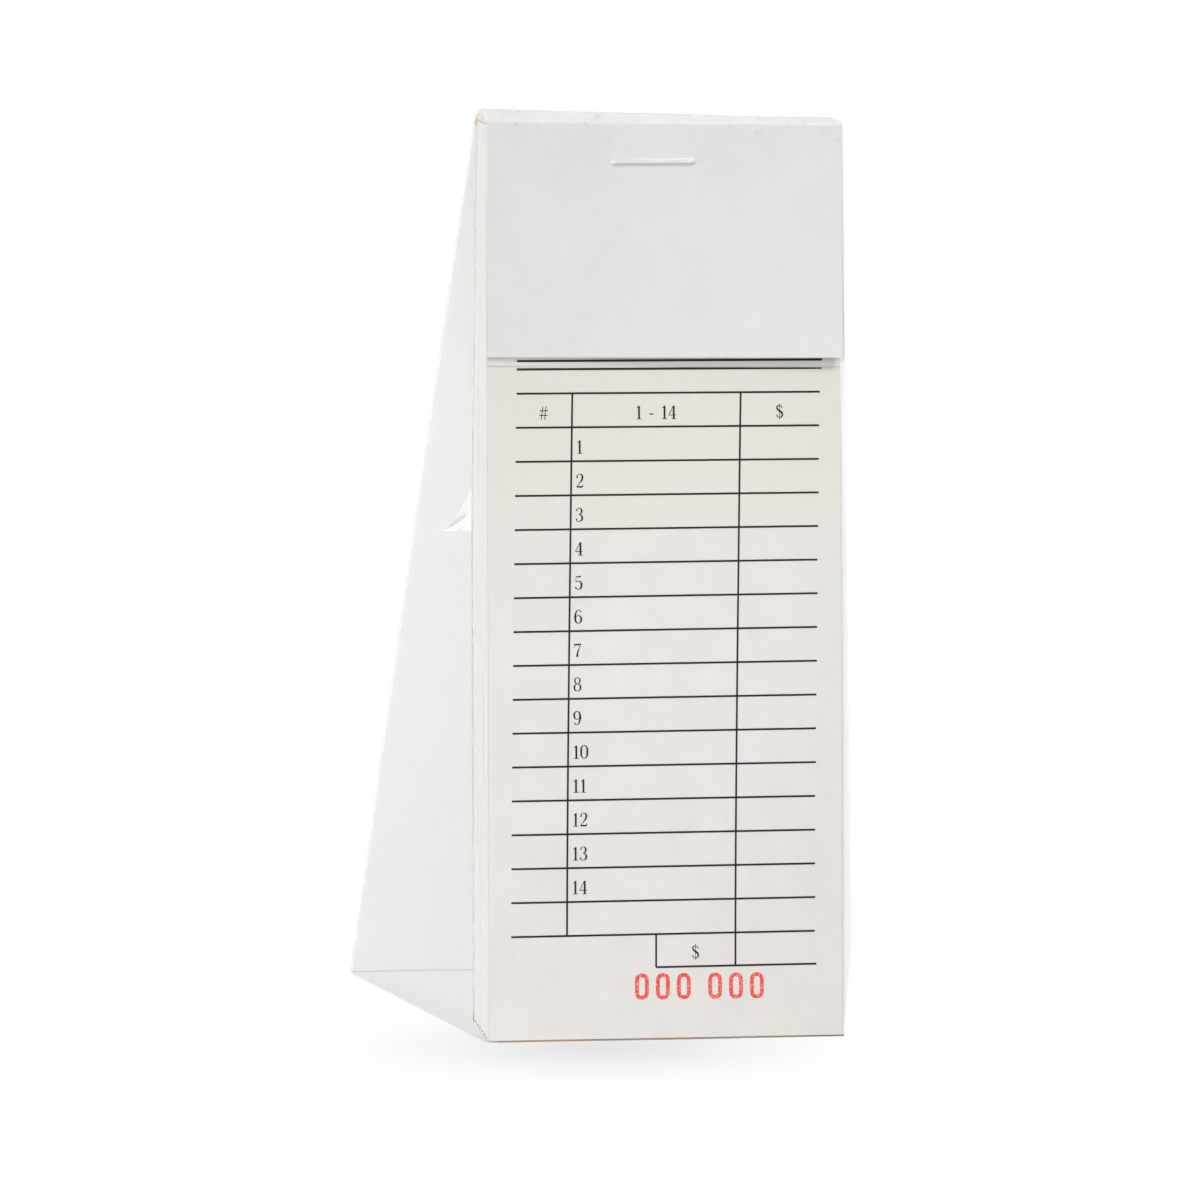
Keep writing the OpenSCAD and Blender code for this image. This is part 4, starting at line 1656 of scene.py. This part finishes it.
@dataclass
class Floor:
    """A plain pale floor that shows white away from the book and painted soft shade by it."""

    half: float = 6.0
    drop: float = 0.00002
    pale: Rgb = (0.80, 0.80, 0.80)
    paler: Rgb = (0.81, 0.81, 0.81)
    drift_grain: Grain = (0.004, 0.004, 0.004)
    drift_span: Span = (0.3, 0.7)
    fade: Span = (0.07, 0.17)
    book_half: float = 0.0319
    # Painted shade: to the camera the floor under the book is darker along its left side, over this
    # width.
    painted_rim_shade_width: float = 0.011
    painted_rim_shade_tone: Rgb = (0.84, 0.84, 0.84)
    inner_tone: Rgb = (0.95, 0.95, 0.95)
    # Painted shade: the even grey that the camera sees on the floor between the pad and the leg.
    painted_shade_level: float = 0.825
    even_share: float = 0.65
    even_fade: Span = (-0.016, -0.006)
    foot_line: float = -0.0331
    leg_line: float = 0.0333
    edge_width: float = 0.0004
    right_fade: Span = (0.000, 0.030)
    back_fade: Span = (0.0340, 0.0700)
    sight_slope: float = 0.40
    shadow_place: Span = (-0.0140, -0.0377)
    shadow_size: Span = (0.0290, 0.0206)
    shadow_turn: float = 0.216
    shadow_depth: float = 0.206

    def build(self) -> None:
        """Lays the floor under the book."""
        data = bpy.data.meshes.new("floor")
        h = self.half
        data.from_pydata([(-h, -h, 0), (h, -h, 0), (h, h, 0), (-h, h, 0)], [], [(0, 1, 2, 3)])
        made = bpy.data.objects.new("floor", data)
        made.location.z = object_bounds()[0].z - self.drop
        bpy.context.scene.collection.objects.link(made)
        data.materials.append(self.material())
        made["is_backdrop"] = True

    def material(self) -> bpy.types.Material:
        """Lays out the floor: pale card to the light, plain white and painted shade to the camera.
        """
        bench = NodeBench("floor_white")
        camera = bench.node("ShaderNodeLightPath").outputs["Is Camera Ray"]
        parts = bench.node("ShaderNodeSeparateXYZ")
        bench.link(bench.place, parts.inputs[0])
        x, y = parts.outputs["X"], parts.outputs["Y"]
        drift = bench.ramp(bench.grain(self.drift_grain, 0, 2), *self.drift_span, 0, 1)
        pale = bench.blend(drift, self.pale, self.paler)
        bench.colour(bench.blend(camera, pale, self.seen_tone(bench, x, y)))
        bench.constant(Roughness=0.9, Specular_IOR_Level=0.0)
        outside = self.outside(bench, x, y)
        share = bench.largest(outside, self.even_patch(bench, x, y))
        # The camera sees the painted shade level inside the footprint and the painted round shadow
        # outside it.
        level = bench.node("ShaderNodeMix", data_type="FLOAT")
        bench.link(outside, level.inputs["Factor"])
        level.inputs["A"].default_value = self.painted_shade_level
        bench.link(self.shadow(bench), level.inputs["B"])
        white = bench.node("ShaderNodeEmission")
        bench.link(level.outputs["Result"], white.inputs["Strength"])
        lit = bench.node("ShaderNodeMixShader")
        bench.link(bench.calc("MULTIPLY", share, camera), lit.inputs["Fac"])
        bench.link(bench.shader.outputs["BSDF"], lit.inputs[1])
        bench.link(white.outputs["Emission"], lit.inputs[2])
        bench.link(lit.outputs["Shader"], bench.output.inputs["Surface"])
        return bench.material

    def seen_tone(self, bench: NodeBench, x: Socket, y: Socket) -> Socket:
        """The colour that the camera sees under the book, with painted shade darker along its left
        side.
        """
        rim = bench.largest(
            bench.ramp(x, -self.book_half, -self.book_half + self.painted_rim_shade_width, 0, 1, True),
            bench.ramp(y, self.leg_line, self.leg_line + self.edge_width, 0, 1),
        )
        return bench.blend(rim, self.painted_rim_shade_tone, self.inner_tone)

    def outside(self, bench: NodeBench, x: Socket, y: Socket) -> Socket:
        """Which floor shows plain white: away from the book, and around its footprint."""
        reach = bench.node("ShaderNodeVectorMath", operation="LENGTH")
        bench.link(bench.place, reach.inputs[0])
        return bench.largest(
            bench.ramp(reach.outputs["Value"], *self.fade, 0, 1, True),
            bench.ramp(x, -self.book_half, -self.book_half - self.edge_width, 0, 1),
            bench.ramp(y, self.foot_line, self.foot_line - self.edge_width, 0, 1),
            bench.ramp(x, *self.right_fade, 0, 1, True),
            bench.ramp(y, *self.back_fade, 0, 1, True),
            self.past_leg(bench, x, y),
        )

    def past_leg(self, bench: NodeBench, x: Socket, y: Socket) -> Socket:
        """Which floor behind the leg is seen past its left edge."""
        skew = bench.calc("MULTIPLY_ADD", y, -self.sight_slope, x)
        start = -self.book_half - self.sight_slope * self.leg_line
        return bench.ramp(skew, start + self.edge_width, start, 0, 1)

    def even_patch(self, bench: NodeBench, x: Socket, y: Socket) -> Socket:
        """How much of the even painted shade shows on the floor between the pad and the leg at the
        left.
        """
        across = bench.ramp(x, *self.even_fade, self.even_share, 0, True)
        behind = bench.ramp(y, self.leg_line, self.leg_line + self.edge_width, 1, 0)
        return bench.calc("MULTIPLY", across, behind)

    def shadow(self, bench: NodeBench) -> Socket:
        """The brightness of the white floor with a soft round shadow before the foot."""
        turn = bench.node("ShaderNodeMapping", vector_type="TEXTURE")
        turn.inputs["Location"].default_value = (*self.shadow_place, 0)
        turn.inputs["Rotation"].default_value = (0, 0, self.shadow_turn)
        turn.inputs["Scale"].default_value = (*self.shadow_size, 1)
        bench.link(bench.place, turn.inputs["Vector"])
        arm = turn.outputs["Vector"]
        fall = bench.calc("POWER", 1 / math.e, bench.dot(arm, arm))
        return bench.ramp(fall, 0, 1, 1, 1 - self.shadow_depth)


@dataclass
class Studio:
    """Floor, tent light, lamps and the camera at the photograph's place."""

    azimuth: float = -21.665
    elevation: float = 8.323
    roll: float = 2.940
    distance: float = 2.3
    lens: float = 411.37
    sensor: float = 36.0
    clip: Span = (0.05, 50.0)
    aim: Knot = (-0.002851, 0.000161, 0.068824)
    tent: float = 0.455
    lamps: tuple[Softbox, ...] = (
        Softbox("front_softbox", (-1.35, -1.25, 0.30), 1.6, 29.6),
        Softbox("side_softbox", (-1.7, -0.15, 0.45), 1.2, 12.5),
        Softbox("top_softbox", (-0.2, 0.15, 1.9), 1.6, 7.4),
        Softbox("key_softbox", (0.260, -0.340, 0.745), 0.16, 0.0575, spread=18.0),
    )

    def build(self) -> None:
        """Sets the stage."""
        self.camera()
        self.world()
        Floor().build()
        for lamp in self.lamps:
            lamp.hang()
        bpy.context.scene.view_settings.view_transform = "Standard"

    def axes(self) -> tuple[Vector, Vector, Vector]:
        """The camera's right, up and backward directions."""
        a, e, r = (math.radians(v) for v in (self.azimuth, self.elevation, self.roll))
        back = Vector((math.sin(a) * math.cos(e), -math.cos(a) * math.cos(e), math.sin(e)))
        level = Vector((math.cos(a), math.sin(a), 0))
        rise = back.cross(level)
        right = level * math.cos(r) + rise * math.sin(r)
        return right, rise * math.cos(r) - level * math.sin(r), back

    def camera(self) -> None:
        """Places the camera."""
        lens = bpy.data.cameras.new("camera")
        lens.lens, lens.sensor_width = self.lens, self.sensor
        lens.clip_start, lens.clip_end = self.clip
        eye = bpy.data.objects.new("camera", lens)
        right, up, back = self.axes()
        turn = Matrix((right, up, back)).transposed().to_4x4()
        eye.matrix_world = Matrix.Translation(Vector(self.aim) + back * self.distance) @ turn
        bpy.context.scene.collection.objects.link(eye)
        bpy.context.scene.camera = eye

    def world(self) -> None:
        """A white tent that lights at a plain level and shows as white."""
        world = bpy.data.worlds.new("tent")
        world.use_nodes = True
        tree = world.node_tree
        path = tree.nodes.new("ShaderNodeLightPath")
        seen = path.outputs["Is Camera Ray"]
        for ray in ("Is Glossy Ray", "Is Transmission Ray"):
            either = tree.nodes.new("ShaderNodeMath")
            either.operation = "MAXIMUM"
            tree.links.new(seen, either.inputs[0])
            tree.links.new(path.outputs[ray], either.inputs[1])
            seen = either.outputs[0]
        level = tree.nodes.new("ShaderNodeMapRange")
        level.inputs["To Min"].default_value = self.tent
        level.inputs["To Max"].default_value = 1.0
        tree.links.new(seen, level.inputs["Value"])
        shade = tree.nodes["Background"]
        shade.inputs["Color"].default_value = (1, 1, 1, 1)
        tree.links.new(level.outputs["Result"], shade.inputs["Strength"])
        bpy.context.scene.world = world


def main() -> None:
    """Builds the stage and the book."""
    logging.basicConfig(level=logging.INFO, format="%(name)s %(message)s")
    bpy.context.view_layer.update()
    pad = PadFrame.from_leaf("original_1_leaf")
    palette, form = Palette(pad), TicketPrint()
    Studio().build()
    TicketPad(pad, palette, form).build()
    TicketLeaf(
        pad, "copy_leaf", "duplicate_1_leaf", Body.COPY_LEAF, Slot.UNDER_COPY,
        palette.under_copy, palette, form, bow=0.10, curl=0.05,
    ).build()
    TicketLeaf(
        pad, "front_leaf", "original_1_leaf", Body.TOP_LEAF, Slot.TOP_COPY,
        palette.top_copy, palette, form, bow=0.30, curl=0.14,
    ).build()
    RearLiner(pad, palette).build()
    CoverCard(pad, palette).build()


if __name__ == "__main__":
    main()
